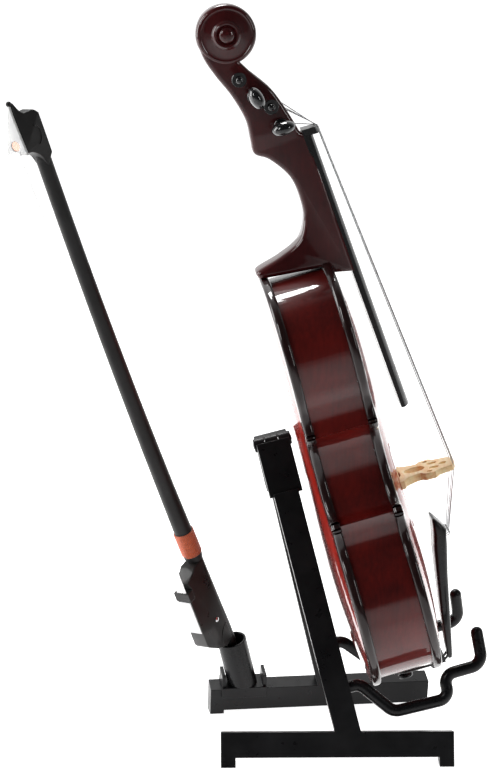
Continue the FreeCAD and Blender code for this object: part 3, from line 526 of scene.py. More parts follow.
def lacquer(name, deep, bright, edge=None):
    """Glossy stained wood: long grain under a clear coat with faint ripples and an uneven sheen."""
    made, nodes, links, shader, where = material_base(name)
    grain_space = mapped(nodes, links, where, (1.0, 1.0, 0.07), (0, CELLO_LEAN, 0))
    grain = noise(nodes, links, grain_space, 900.0, 6.0, 0.6)
    cloud = noise(nodes, links, where, 28.0, 3.0)
    mixed = nodes.new("ShaderNodeMath")
    mixed.operation = "MULTIPLY_ADD"
    mixed.inputs[1].default_value = 0.45
    links.new(grain, mixed.inputs[0])
    links.new(level(nodes, links, cloud, 0.3, 0.7, 0.0, 0.55), mixed.inputs[2])
    colour = ramp(nodes, links, mixed.outputs["Value"], [(0.12, deep), (0.75, bright)])
    if edge is not None:
        colour = darker_rim(nodes, links, colour, edge)
    links.new(colour, shader.inputs["Base Color"])
    shader.inputs["Roughness"].default_value = 0.42
    shader.inputs["Specular IOR Level"].default_value = 0.12
    shader.inputs["Coat Weight"].default_value = 1.0
    shader.inputs["Coat IOR"].default_value = 1.5
    wear = noise(nodes, links, where, 160.0, 5.0)
    links.new(level(nodes, links, wear, 0.35, 0.75, 0.015, 0.05), shader.inputs["Coat Roughness"])
    ripple = noise(nodes, links, where, 220.0, 2.0)
    bump = nodes.new("ShaderNodeBump")
    bump.inputs["Strength"].default_value = 0.10
    bump.inputs["Distance"].default_value = 0.0004
    links.new(ripple, bump.inputs["Height"])
    links.new(bump.outputs["Normal"], shader.inputs["Coat Normal"])
    add_bump(nodes, links, shader, grain, 0.12, 0.0002)
    return made


def moulded(name, colour, low_rough, high_rough, bump_scale=1800.0, bump_strength=0.12, coat=0.0):
    """Black moulded plastic or paint: fine texture, uneven sheen, slightly paler patches."""
    made, nodes, links, shader, where = material_base(name)
    patches = noise(nodes, links, where, 45.0, 5.0)
    paler = tuple(min(1.0, c * 1.7 + 0.004) for c in colour)
    links.new(ramp(nodes, links, patches, [(0.35, colour), (0.8, paler)]), shader.inputs["Base Color"])
    sheen = noise(nodes, links, where, 260.0, 6.0)
    links.new(level(nodes, links, sheen, 0.3, 0.7, low_rough, high_rough), shader.inputs["Roughness"])
    shader.inputs["Specular IOR Level"].default_value = 0.2
    shader.inputs["Coat Weight"].default_value = coat
    shader.inputs["Coat Roughness"].default_value = 0.08
    texture = noise(nodes, links, where, bump_scale, 3.0)
    add_bump(nodes, links, shader, texture, bump_strength, 0.00008)
    return made


def bare_wood(name, deep, bright, stretch):
    """Unvarnished wood with growth lines, pores and a dull surface."""
    made, nodes, links, shader, where = material_base(name)
    space = mapped(nodes, links, where, stretch, (0, CELLO_LEAN, 0))
    lines = noise(nodes, links, space, 700.0, 6.0, 0.65)
    links.new(ramp(nodes, links, lines, [(0.3, deep), (0.62, bright)]), shader.inputs["Base Color"])
    links.new(level(nodes, links, lines, 0.3, 0.7, 0.5, 0.36), shader.inputs["Roughness"])
    shader.inputs["Subsurface Weight"].default_value = 0.08
    shader.inputs["Subsurface Radius"].default_value = (0.001, 0.0006, 0.0003)
    add_bump(nodes, links, shader, lines, 0.25, 0.0002)
    return made


def metal(name, colour, low_rough, high_rough):
    """Drawn or polished metal with fine scratches."""
    made, nodes, links, shader, where = material_base(name)
    scratches = noise(nodes, links, mapped(nodes, links, where, (1, 1, 0.05)), 3000.0, 4.0)
    shade = tuple(c * 0.7 for c in colour)
    links.new(ramp(nodes, links, scratches, [(0.3, shade), (0.7, colour)]), shader.inputs["Base Color"])
    shader.inputs["Metallic"].default_value = 1.0
    links.new(level(nodes, links, scratches, 0.3, 0.7, low_rough, high_rough), shader.inputs["Roughness"])
    add_bump(nodes, links, shader, scratches, 0.1, 0.00005)
    return made


def pale_shell(name, colour, tint):
    """White pearl or plate with faint shimmering bands."""
    made, nodes, links, shader, where = material_base(name)
    bands = noise(nodes, links, mapped(nodes, links, where, (1, 1, 0.3)), 420.0, 4.0)
    links.new(ramp(nodes, links, bands, [(0.3, tint), (0.65, colour)]), shader.inputs["Base Color"])
    links.new(level(nodes, links, bands, 0.3, 0.7, 0.14, 0.3), shader.inputs["Roughness"])
    shader.inputs["Coat Weight"].default_value = 0.5
    shader.inputs["Sheen Weight"].default_value = 0.15
    add_bump(nodes, links, shader, bands, 0.06, 0.0001)
    return made


def thread(name, deep, bright, glow=0.0):
    """Bundled thread or hair: fibre streaks, a soft sheen, and a painted glow from emission at the glow
    strength.
    """
    made, nodes, links, shader, where = material_base(name)
    fibres = noise(nodes, links, where, 2600.0, 5.0)
    links.new(ramp(nodes, links, fibres, [(0.3, deep), (0.7, bright)]), shader.inputs["Base Color"])
    shader.inputs["Sheen Weight"].default_value = 0.4
    # Painted glow: emission that makes the thread shine white by itself, though it is no lamp
    shader.inputs["Emission Color"].default_value = (1, 1, 1, 1)
    shader.inputs["Emission Strength"].default_value = glow
    links.new(level(nodes, links, fibres, 0.3, 0.7, 0.35, 0.6), shader.inputs["Roughness"])
    add_bump(nodes, links, shader, fibres, 0.4, 0.00008)
    return made


BACK_LACQUER = lacquer("back_lacquer", (0.16, 0.004, 0.002), (0.46, 0.018, 0.008), (0.012, 0.003, 0.003))
RIB_LACQUER = lacquer("rib_lacquer", (0.020, 0.0012, 0.0016), (0.125, 0.006, 0.004))
NECK_LACQUER = lacquer("neck_lacquer", (0.012, 0.0012, 0.0016), (0.060, 0.004, 0.005))
STAND_PLASTIC = moulded("stand_plastic", (0.0035, 0.0035, 0.004), 0.26, 0.40)
ROD_PLASTIC = moulded("rod_plastic", (0.0035, 0.0035, 0.004), 0.22, 0.34, 1200.0, 0.08)
EBONY = moulded("ebony", (0.007, 0.007, 0.0075), 0.22, 0.38, 900.0, 0.1, 0.35)
PEG_BLACK = moulded("peg_black", (0.008, 0.008, 0.009), 0.06, 0.16, 500.0, 0.05, 1.0)
BOW_LACQUER = moulded("bow_lacquer", (0.010, 0.0095, 0.0095), 0.3, 0.48, 1400.0, 0.15)
FROG_BLACK = moulded("frog_black", (0.012, 0.0115, 0.011), 0.25, 0.42, 1000.0, 0.12, 0.2)
MAPLE = bare_wood("bridge_maple", (0.86, 0.50, 0.20), (0.97, 0.78, 0.46), (1.0, 0.15, 1.0))
BLOCK_WOOD = bare_wood("block_wood", (0.45, 0.28, 0.14), (0.66, 0.47, 0.28), (1.0, 1.0, 0.1))
STRING_STEEL = metal("string_steel", (0.62, 0.62, 0.63), 0.2, 0.4)
PIN_STEEL = metal("pin_steel", (0.5, 0.5, 0.51), 0.25, 0.45)
PLUG_BRASS = metal("plug_brass", (0.80, 0.52, 0.42), 0.15, 0.4)
EYE_SILVER = metal("eye_silver", (0.86, 0.86, 0.86), 0.05, 0.15)
PEARL = pale_shell("pearl", (0.76, 0.76, 0.76), (0.62, 0.62, 0.64))
TIP_WHITE = pale_shell("tip_white", (0.70, 0.70, 0.69), (0.60, 0.60, 0.60))
COPPER_THREAD = thread("copper_thread", (0.30, 0.035, 0.008), (0.70, 0.13, 0.022))
# The bow hair glows with emission 0.3: painted light that keeps it bright white
HAIR_WHITE = thread("hair_white", (0.88, 0.88, 0.87), (0.97, 0.97, 0.97), 0.3)
CORD_BLACK = thread("cord_black", (0.01, 0.01, 0.01), (0.05, 0.05, 0.05))


# ------------------------------------------------------------------ cello body
def rim_links():
    """Edges of the back plate's outer rim: for each corner, its neighbours and their (y, z) places."""
    to_cello = CELLO.inverted()
    made = bmesh.new()
    made.from_mesh(frame["nodes"]["back_plate"].data)
    bmesh.ops.remove_doubles(made, verts=made.verts, dist=WELD)
    normal_x = (CELLO.to_3x3() @ Vector((1, 0, 0))).normalized()
    neighbours = {}
    for edge in made.edges:
        a, b = (to_cello @ v.co for v in edge.verts)
        if max(abs(a.x), abs(b.x)) > RIM_TOLERANCE or len(edge.link_faces) != 2:
            continue
        slopes = sorted(abs(face.normal.dot(normal_x)) for face in edge.link_faces)
        if slopes[0] < 0.1 and slopes[1] > 0.9:
            neighbours.setdefault(edge.verts[0].index, []).append((edge.verts[1].index, b.yz))
            neighbours.setdefault(edge.verts[1].index, []).append((edge.verts[0].index, a.yz))
    made.free()
    return neighbours


def outline_loop():
    """The body's outline, read from the rim of the back plate and spaced evenly."""
    neighbours = rim_links()
    start = next(iter(neighbours))
    here, before, chain = start, None, []
    while True:
        following = [item for item in neighbours[here] if item[0] != before][0]
        chain.append(Vector(following[1]))
        before, here = here, following[0]
        if here == start:
            break
    lengths = [(b - a).length for a, b in zip(chain, chain[1:] + chain[:1])]
    count = round(sum(lengths) / OUTLINE_SPACING)
    step = sum(lengths) / count
    loop, walked, index = [], 0.0, 0
    for i in range(count):
        while walked + lengths[index] < i * step:
            walked += lengths[index]
            index += 1
        share = (i * step - walked) / lengths[index]
        loop.append(chain[index].lerp(chain[(index + 1) % len(chain)], share))
    turning = sum(a.x * b.y - a.y * b.x for a, b in zip(loop, loop[1:] + loop[:1]))
    return np.array(loop if turning > 0 else loop[::-1])


def inset(loop, distance):
    """A counter-clockwise loop moved inward."""
    tangent = np.roll(loop, -1, axis=0) - np.roll(loop, 1, axis=0)
    tangent /= np.linalg.norm(tangent, axis=1)[:, None]
    return loop + distance * np.stack([-tangent[:, 1], tangent[:, 0]], axis=1)


def inside(points, loop):
    """Which points lie inside a closed loop."""
    found = np.zeros(len(points), dtype=bool)
    for (y1, z1), (y2, z2) in zip(loop, np.roll(loop, -1, axis=0)):
        if z1 == z2:
            continue
        crosses = (points[:, 1] < z1) != (points[:, 1] < z2)
        found ^= crosses & (points[:, 0] < (y2 - y1) * (points[:, 1] - z1) / (z2 - z1) + y1)
    return found


def dome(loop):
    """Height of a soap film over the body, 0 at the edge's flat and 1 at the crown."""
    low, high = loop.min(axis=0) - 2, loop.max(axis=0) + 2
    size = np.ceil((high - low) / FILM_CELL).astype(int) + 1
    ys, zs = low[0] + FILM_CELL * np.arange(size[0]), low[1] + FILM_CELL * np.arange(size[1])
    grid = np.stack(np.meshgrid(ys, zs, indexing="ij"), axis=-1).reshape(-1, 2)
    mask = inside(grid, inset(loop, FILM_CHANNEL)).reshape(size)
    film = np.zeros(size)
    for _ in range(FILM_ROUNDS):
        around = np.roll(film, 1, 0) + np.roll(film, -1, 0) + np.roll(film, 1, 1) + np.roll(film, -1, 1)
        film = np.where(mask, 0.25 * around + 1.0, 0.0)
    film = (film / film.max()) ** FILM_FULLNESS

    def height(points):
        place = (points - low) / FILM_CELL
        corner = np.clip(np.floor(place).astype(int), 0, size - 2)
        u, v = (place - corner).T
        i, j = corner.T
        return (
            film[i, j] * (1 - u) * (1 - v)
            + film[i + 1, j] * u * (1 - v)
            + film[i, j + 1] * (1 - u) * v
            + film[i + 1, j + 1] * u * v
        )

    return height


def f_hole_loop(side):
    """Edge of one sound hole: an S-shaped slot that widens into a round eye at each end."""
    path = smooth_stroke([(y, z, 0) for y, z in F_HOLE_LINE], 5)
    last = len(path) - 1
    left, right = [], []
    for i, point in enumerate(path):
        to_end = max(0.0, 1 - min(i, last - i) / last / F_HOLE_EYE_SHARE)
        width = F_HOLE_HALF + F_HOLE_SWELL * to_end**1.5 if 0 < i < last else F_HOLE_END
        along = (path[min(i + 1, last)] - path[max(i - 1, 0)]).normalized()
        across = Vector((-along.y, along.x, 0)) * width
        left.append(point + across)
        right.append(point - across)
    return np.array([(side * p.x, p.y) for p in left + right[::-1]])


def plate_sheet(loop, holes):
    """Triangles that fill the plate inside its rolled edge: places, faces and each place's rim number."""
    rim = inset(loop, ROLLED_EDGE)
    low, high = loop.min(axis=0), loop.max(axis=0)
    columns = np.meshgrid(np.arange(low[0], high[0], SHEET_CELL), np.arange(low[1], high[1], SHEET_CELL))
    grid = np.stack(columns, -1).reshape(-1, 2)
    grid = grid[inside(grid, inset(loop, ROLLED_EDGE + 1.0))]
    for hole in holes:
        gap = np.linalg.norm(grid[:, None] - hole[None], axis=2).min(axis=1)
        grid = grid[(gap > HOLE_GAP) & ~inside(grid, hole)]
    points, edges = list(map(Vector, rim)), [(i, (i + 1) % len(rim)) for i in range(len(rim))]
    for hole in holes:
        start = len(points)
        points += list(map(Vector, hole))
        edges += [(start + i, start + (i + 1) % len(hole)) for i in range(len(hole))]
    points += list(map(Vector, grid))
    places, _, triangles, sources, _, _ = delaunay_2d_cdt(points, edges, [], 1, 1e-6)
    spots = np.array([tuple(v) for v in places])
    faces = [tuple(f) for f in triangles]
    centres = np.array([spots[list(f)].mean(axis=0) for f in faces])
    keep = np.ones(len(faces), dtype=bool)
    for hole in holes:
        keep &= ~inside(centres, hole)
    faces = [f for f, kept in zip(faces, keep) if kept]
    rim_number = {spot: min(found) for spot, found in enumerate(sources) if found and min(found) < len(rim)}
    return spots, faces, rim_number


def border_edges(faces):
    """Directed edges that only one triangle has."""
    edges = {(a, b) for f in faces for a, b in zip(f, f[1:] + f[:1])}
    return [(a, b) for f in faces for a, b in zip(f, f[1:] + f[:1]) if (b, a) not in edges]


def plate(name, loop, height, arch, outward, flat_x, holes, material):
    """Domed plate with a rolled edge; outward is the direction of its outer face along x."""
    spots, faces, rim_number = plate_sheet(loop, holes)
    outer_x = flat_x + outward * arch * height(spots)
    inner_x = outer_x - outward * PLATE_EDGE
    vertices = [(x, y, z) for x, (y, z) in zip(outer_x, spots)]
    vertices += [(x, y, z) for x, (y, z) in zip(inner_x, spots)]
    count = len(spots)
    solid = faces + [tuple(reversed([i + count for i in f])) for f in faces]
    ring_start = []
    for distance, depth in EDGE_PROFILE:
        ring_start.append(len(vertices))
        vertices += [(flat_x - outward * depth, y, z) for y, z in inset(loop, distance)]
    for a, b in border_edges(faces):
        if a not in rim_number or b not in rim_number:
            solid.append((a, b, b + count, a + count))
            continue
        chain_a = [a] + [start + rim_number[a] for start in ring_start] + [a + count]
        chain_b = [b] + [start + rim_number[b] for start in ring_start] + [b + count]
        for low_a, high_a, low_b, high_b in zip(chain_a, chain_a[1:], chain_b, chain_b[1:]):
            solid.append((low_a, low_b, high_b, high_a))
    made = mesh_piece(name, vertices, solid, CELLO, material, 50.0)
    mark_edge(made, loop)
    return made


def mark_edge(obj, loop):
    """Stores each point's distance from the body's outline, for the darker varnish round the rim."""
    to_cello = CELLO.inverted()
    where = np.array([(to_cello @ v.co).yz for v in obj.data.vertices])
    distance = np.concatenate([
        np.linalg.norm(part[:, None] - loop[None], axis=2).min(axis=1)
        for part in np.array_split(where, 40)
    ])
    attribute = obj.data.attributes.new("edge_distance", "FLOAT", "POINT")
    attribute.data.foreach_set("value", distance.astype(np.float32))


def body_shell():
    loop = outline_loop()
    height = dome(loop)
    holes = [f_hole_loop(side) for side in (-1, 1)]
    back = plate("back_shown", loop, height, BACK_ARCH, -1, 0.0, (), BACK_LACQUER)
    belly = plate("belly_shown", loop, height, BELLY_ARCH, 1, BODY_DEPTH, holes, BACK_LACQUER)
    shown(back, "plate_varnish", "back_plate")
    shown(belly, "plate_varnish", "top_plate")
    for name in ("lower_rib", "bass_waist_rib", "treble_waist_rib", "bass_upper_rib", "treble_upper_rib"):
        shown(refined(name, 0.0, RIB_LACQUER), "rib_varnish", name)
    for name in ("bottom_block", "top_block", "corner_blocks"):
        shown(refined(name, 0.2, BLOCK_WOOD), "inner_wood", name)


# ------------------------------------------------------------------ neck, scroll and pegs
def reshape(obj, matrix, change):
    """Moves a piece's points by a rule given in the sub-frame's millimetres."""
    back = matrix.inverted()
    for vertex in obj.data.vertices:
        vertex.co = matrix @ change(back @ vertex.co)
    return obj


def neck_half(z):
    """Half width of the neck and pegbox at a height."""
    heights, halves = zip(*NECK_HALVES)
    return float(np.interp(z, heights, halves))


def neck():
    """Heel, neck and pegbox carved from one side view, narrowed to the plan, with the pegbox hollowed."""
    chin, crest_back, crest_front = (14.5, 194.0), (1.0, 238.0), (13.3, 229.3)
    nut_seat, heel_front, heel_step, button = (27.0, 200.4), (32.9, 148.8), (25.4, 150.4), (0.1, 155.0)
    back = [
        button, (0.1, 157.9), (9.2, 160.7), (16.7, 164.3), (20.2, 170.6), (21.0, 177.6), (19.7, 186.3), chin,
        (9.9, 197.4), (9.8, 202.4), (10.0, 209.5), (7.6, 218.5), (4.1, 226.5), (1.9, 232.6), crest_back,
    ]
    crest = [crest_back, (3.2, 243.0), (11.0, 243.0), (14.5, 236.0), crest_front]
    throat = [crest_front, (16.4, 224.4), (21.0, 217.9), (23.6, 211.8), (25.7, 205.2), nut_seat]
    front = [nut_seat, (29.6, 199.0), heel_front]
    foot = [heel_front, heel_step, (24.0, 153.0), button]
    outline = strokes(back, crest, throat, front[:2], front[1:], foot[:2], foot[1:3], foot[2:])
    piece = slab("neck_shown", outline, NECK_SLAB_HALF, 1.6, CELLO, NECK_LACQUER)
    reshape(piece, CELLO, lambda p: Vector((p.x, p.y * neck_half(p.z) / NECK_SLAB_HALF, p.z)))
    channel = [
        (13.6, 201.8), (30.0, 201.8), (30.0, 214.0), (17.1, 224.6), (10.4, 226.6), (9.6, 222.0),
        (12.2, 212.0),
    ]
    cut_away(piece, slab("channel", channel, PEGBOX_INNER_HALF, 0.05, CELLO, NECK_LACQUER))
    shown(piece, "neck_varnish", "neck_and_scroll")


def scroll():
    """Turned disc in place of the spiral: rolled rim, hollow face, ringed boss and eye."""
    half_profile = [
        (10.4, 0.0), (10.4, 2.6), (10.3, 3.3), (10.0, 3.95), (9.5, 4.35), (9.0, 4.4), (8.7, 4.2), (8.5, 4.15),
        (7.5, 4.35), (6.5, 4.6), (5.5, 4.9), (5.1, 5.05), (4.9, 5.5), (4.6, 6.1), (4.1, 6.4), (3.6, 6.35),
        (3.3, 6.0), (3.0, 5.8), (2.75, 6.0), (2.5, 6.7), (2.0, 7.15), (1.2, 7.35), (0.02, 7.4),
    ]
    profile = [(radius, -along) for radius, along in reversed(half_profile[1:])] + half_profile
    disc = turned("scroll_shown", profile, SCROLL_CENTRE, "y", CELLO, NECK_LACQUER, 96)
    detail(disc, "cello")


def peg_bushes():
    """Ring round each peg's shaft on both walls of the pegbox."""
    for name, (x, z) in PEG_CENTRES.items():
        wall = neck_half(z)
        ring = [(1.5, wall - 0.6), (2.5, wall - 0.6), (2.6, wall + 0.1)]
        ring += [(2.4, wall + 0.35), (1.6, wall + 0.35)]
        for side in (-1, 1):
            profile = [(radius, side * along) for radius, along in ring]
            bush = turned(f"{name}_bush_{side + 1}", profile, (x, 0, z), "y", CELLO, PEG_BLACK)
            detail(bush, "cello")


def peg(name):
    """Tuning peg with a round shaft, a ringed collar and a flat oval thumb piece."""
    x, z = PEG_CENTRES[name]
    side = PEG_SIDES[name]
    turn = math.radians(PEG_TURNS[name])
    rings = []
    for along, half_long, half_short in PEG_STATIONS:
        ring = []
        for step in range(PEG_FACETS):
            angle = 2 * math.pi * step / PEG_FACETS
            u, w = half_short * math.cos(angle), half_long * math.sin(angle)
            right = x + u * math.cos(turn) + w * math.sin(turn)
            ring.append(Vector((right, side * along, z - u * math.sin(turn) + w * math.cos(turn))))
        rings.append(ring)
    shown(loft(name + "_peg_shown", rings, CELLO, PEG_BLACK, 40.0), "black_fittings", name + "_peg")


def string(index):
    """Three turns on the peg, then over the nut and the bridge to the tailpiece."""
    name = STRINGS[index]
    x, z = PEG_CENTRES[name]
    y_peg = STRING_AT_PEG[index]
    offset = index - 1.5
    y_nut, y_bridge, y_tail = NUT_SPACING * offset, BRIDGE_SPACING * offset, TAIL_SPACING * offset
    nut_drop, bridge_drop = 0.035 * y_nut**2, 0.028 * y_bridge**2
    path = []
    for step in range(61):
        angle = 2 * math.pi * step / 20 + math.pi / 2
        along = y_peg - 0.45 + 0.3 * step / 20
        path.append((x + STRING_COIL * math.sin(angle), along, z + STRING_COIL * math.cos(angle)))
    path += [(33.6 - nut_drop, y_nut, 200.9), (33.75 - nut_drop, y_nut, 200.2)]
    path += [(49.4 - bridge_drop, y_bridge, 72.8), (49.4 - bridge_drop, y_bridge, 71.6)]
    path += [(41.2, y_tail, 49.0)]
    wire = tube(name + "_string_shown", [path], STRING_RADIUS, CELLO, STRING_STEEL)
    shown(wire, "string_steel", name + "_string")


# ------------------------------------------------------------------ fittings
def bridge():
    """Two feet, notched flanks, crowned top and six openings, thinner towards the strings."""
    half = [
        (27.6, 5.7), (27.5, 11.9), (30.0, 11.9), (31.2, 9.2), (34.6, 7.2), (36.6, 7.0), (37.6, 8.6),
        (38.4, 9.3), (41.6, 9.7), (42.4, 8.6), (43.6, 7.4), (46.2, 6.9), (48.2, 6.3),
    ]
    crown = [(48.2, 6.3), (49.2, 3.6), (49.6, 0.0), (49.2, -3.6), (48.2, -6.3)]
    arch = [(27.6, -5.7), (28.9, -5.0), (29.7, -2.8), (29.9, 0.0), (29.7, 2.8), (28.9, 5.0), (27.6, 5.7)]
    mirrored = [(x, -y) for x, y in reversed(half)]
    right = (half[:2], half[1:3], half[2:6], half[5:9], half[8:10], half[9:])
    left = (mirrored[:4], mirrored[3:5], mirrored[4:8], mirrored[7:11], mirrored[10:12], mirrored[11:])
    holes = [ellipse((35.2, 0.0), 3.7, 3.6), ellipse((42.0, -3.1), 1.8, 1.3, -0.3)]
    holes += [ellipse((42.0, 3.1), 1.8, 1.3, 0.3), ellipse((45.6, 0.0), 1.3, 1.5)]
    holes += [ellipse((39.9, side * 6.9), 0.9, 1.1) for side in (-1, 1)]
    outline = strokes(*right, crown, *left, arch)
    piece = slab("bridge_shown", outline, 1.5, 0.3, CELLO, MAPLE, holes, "xy")

    def taper(point):
        thick = float(np.interp(point.x, [27, 34, 49], [1.0, 0.95, 0.66]))
        return Vector((point.x, point.y, BRIDGE_Z + point.z * thick))

    reshape(piece, CELLO, taper)
    shown(piece, "bridge_maple", "bridge")


def tailpiece():
    """Tapered board, crowned on its face, that thins to a lip above the string hooks."""
    rings = []
    for z, low, top, half in TAILPIECE_STATIONS:
        ring = []
        for step in range(40):
            angle = 2 * math.pi * step / 40
            across, rise = math.cos(angle), math.sin(angle)
            y = half * math.copysign(abs(across) ** 0.35, across)
            lift = math.copysign(abs(rise) ** (0.75 if rise > 0 else 0.35), rise)
            ring.append(Vector(((low + top) / 2 + lift * (top - low) / 2, y, z)))
        rings.append(ring)
    shown(loft("tailpiece_shown", rings, CELLO, EBONY, 50.0), "black_fittings", "tailpiece")


def fittings():
    shown(refined("fingerboard", 0.35, EBONY), "black_fittings", "fingerboard")
    shown(refined("nut", 0.3, EBONY), "black_fittings", "nut")
    tailpiece()
    shown(refined("saddle", 0.3, EBONY), "black_fittings", "saddle")
    knob = turned("end_button_shown", BUTTON_PROFILE, (13.2, 0, 0), "z", CELLO, EBONY)
    shown(knob, "black_fittings", "end_button")
    shown(refined("tailgut", 0.0, CORD_BLACK, 60.0), "tail_cord", "tailgut")
    bumps = []
    for index in range(len(STRINGS)):
        y = TAIL_SPACING * (index - 1.5)
        bump = [(40.3, 0, 50.2), (41.1, 0.35, 49.8), (41.6, 0, 49.0), (41.1, -0.35, 48.2), (40.3, 0, 47.9)]
        bumps.append([(x, y + aside, z) for x, aside, z in bump])
    detail(tube("string_loops", bumps, 0.2, CELLO, STRING_STEEL), "cello")


# ------------------------------------------------------------------ stand
def cradle_arm(side, name):
    """Bent rod with a ball end."""
    path = rounded_path([Vector((x, LEG_MIDDLE, z)) for x, z in ARM_POINTS], ARM_BEND)
    arm = tube(name + "_arm_shown", [path], ARM_RADIUS, side_frame(side), ROD_PLASTIC, 10)
    shown(arm, "stand_plastic", name + "_cradle_arm")
    ball = ball_profile(ARM_RADIUS, 16)
    end = turned(name + "_arm_end", ball, path[-1], "z", side_frame(side), ROD_PLASTIC, 40)
    detail(end, frame["nodes"][name + "_cradle_arm"]["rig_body"])


def stand():
    for side, name in ((-1, "bass"), (1, "treble")):
        leg = refined(name + "_side_frame", 0.45, STAND_PLASTIC)
        shown(leg, "stand_plastic", name + "_side_frame")
        cradle_arm(side, name)
    shown(refined("bow_tube", 0.2, ROD_PLASTIC), "stand_plastic", "bow_tube")
    shown(refined("tube_saddle", 0.2, STAND_PLASTIC), "stand_plastic", "tube_saddle")
    shown(refined("hinge_pin", 0.15, PIN_STEEL), "pin_steel", "hinge_pin")


# ------------------------------------------------------------------ bow
def camber(z):
    """How far the stick's centre bends towards the hair at a height."""
    middle = STICK_LENGTH / 2
    return STICK_CAMBER * (1 - ((z - middle) / middle) ** 2)


def tip_plate():
    """Pale pointed plate on the head's face, with the plug's hole."""
    low, high = Vector((10.6, 0, 212.2)), Vector((6.4, 0, 229.2))
    along = (high - low).normalized()
    outward = Vector((along.z, 0, -along.x))
    foot = low + outward * TIP_PLATE_HALF
    face = placement(Vector((0, -1, 0)), along, outward, foot, 1.0)
    sides = [(-4.5, 0.1), (-3.5, 3.5), (-2.0, 9.0), (-0.9, 13.6), (-0.35, 16.9)]
    mirrored = [(-x, y) for x, y in reversed(sides)]
    outline = strokes(sides, [sides[-1], mirrored[0]], mirrored, [mirrored[-1], (0.0, -0.05), sides[0]])
    hole = ellipse((0.0, 3.1), 1.72, 1.72)
    piece = slab("tip_plate_shown", outline, TIP_PLATE_HALF, 0.15, BOW @ face, TIP_WHITE, [hole], "xy")
    shown(piece, "tip_white", "bow_tip_plate")


def frog():
    """Solid frog with softened edges, and a raised line near its heel and a silver eye on each side."""
    profile = [
        (0.5, 2.5), (4.5, 1.4), (9.3, 3.9), (13.2, 7.3), (13.9, 8.6), (13.9, 28.6), (11.3, 28.6),
        (11.3, 32.4), (12.3, 35.6), (8.0, 37.2), (6.2, 38.4), (0.5, 38.4),
    ]
    shown(slab("bow_frog_shown", profile, FROG_HALF, 0.35, BOW, FROG_BLACK), "frog_black", "bow_frog")
    heel_line = [(0.9, 9.6), (3.4, 8.6), (5.4, 6.2), (6.1, 2.8)]
    eye_rise = [(0.92, 2.9), (0.9, 3.25), (0.7, 3.36), (0.4, 3.4), (0.01, 3.4)]
    eyes = []
    for side in (-1, 1):
        line = smooth_stroke([(x, side * FROG_HALF, z) for x, z in heel_line])
        detail(tube(f"frog_line_{side + 1}", [line], 0.14, BOW, FROG_BLACK), "bow")
        profile = [(radius, side * along) for radius, along in eye_rise]
        eyes.append(turned(f"frog_eye_{side + 1}", profile, (4.9, 0, 13.9), "y", BOW, EYE_SILVER, 32))
    shown(eyes[0], "eye_silver", "frog_eyes")
    detail(eyes[1], "bow")


def hair():
    """Flat band of single hairs from the ferrule to the head's plate, and along the plate into the plug."""
    chance = random.Random(7)
    strands = []
    for index in range(HAIR_COUNT):
        y = HAIR_HALF * (2 * index / (HAIR_COUNT - 1) - 1)
        slack = chance.uniform(-0.12, 0.12)
        depth = chance.uniform(0.0, 0.35)
        middle = (12.8 + slack + depth, y + chance.uniform(-0.1, 0.1), 120.0)
        at_head = [(11.6 + depth, 0.9 * y, 212.2), (11.3, 0.7 * y, 213.4)]
        strands.append([(13.5 + depth, y, 32.0), middle, *at_head])
    hairs = tube("bow_hair_shown", strands, 0.07, BOW, HAIR_WHITE, 1)
    shown(hairs, "hair_white", "bow_hair")


def stick():
    """Tapered, cambered stick with the plain end that stands in the tube."""
    rings = []
    for z in [-7.9, -7.6, -0.25, -0.2, 0.0] + [2.0 * step for step in range(1, 110)]:
        radius = float(np.interp(z, *zip(*STICK_SECTIONS)))
        if z < -7.7:
            radius -= 0.3
        centre = camber(z) if z >= 0 else 0.0
        ring = []
        for step in range(40):
            angle = 2 * math.pi * step / 40
            ring.append(Vector((centre + radius * math.cos(angle), radius * math.sin(angle), z)))
        rings.append(ring)
    shown(loft("bow_stick_shown", rings, BOW, BOW_LACQUER, 40.0), "bow_wood", "bow_stick")


def head():
    """Head that narrows to a beak with a ball, and a raised crescent on each side."""
    heel, top, valley = (-2.0, 206.0), (-2.5, 220.8), (2.2, 223.6)
    beak, plate_top, plate_foot, throat = (5.7, 228.9), (6.4, 228.9), (10.4, 212.1), (1.8, 203.0)
    outline = strokes(
        [heel, (-2.3, 214.0), top],
        [top, (-0.8, 222.8), valley],
        [valley, (3.6, 224.0), (4.8, 225.8), beak],
        [beak, plate_top],
        [plate_top, plate_foot],
        [plate_foot, (6.6, 210.8), (3.4, 207.6), throat],
        [throat, heel],
    )
    piece = slab("bow_head", outline, HEAD_HALF, 0.45, BOW, BOW_LACQUER)
    reshape(piece, BOW, lambda p: Vector((p.x, p.y * float(np.interp(p.z, [221.0, 229.0], [1.0, 0.3])), p.z)))
    detail(piece, "bow")
    ball = ball_profile(BEAK_RADIUS, 12)
    detail(turned("bow_beak", ball, (6.7, 0, 229.0), "z", BOW, BOW_LACQUER, 32), "bow")
    for side in (-1, 1):
        y = side * (HEAD_HALF + 0.02)
        arc = [(3.0 + 3.0 * math.cos(t), y, 215.0 + 3.6 * math.sin(t)) for t in np.linspace(1.9, 4.5, 20)]
        detail(tube(f"head_crescent_{side + 1}", [arc], 0.24, BOW, BOW_LACQUER), "bow")


def winding():
    """Thread wound in a tight band above the frog."""
    low, high, pitch, radius = 41.4, 51.2, 0.5, 3.5
    path = []
    for step in range(round((high - low) / pitch * 28)):
        angle = 2 * math.pi * step / 28
        z = low + pitch * step / 28
        path.append((camber(z) + radius * math.cos(angle), radius * math.sin(angle), z))
    thread_piece = tube("winding_shown", [path], pitch / 2, BOW, COPPER_THREAD, 3)
    shown(thread_piece, "winding_copper", "bow_winding")


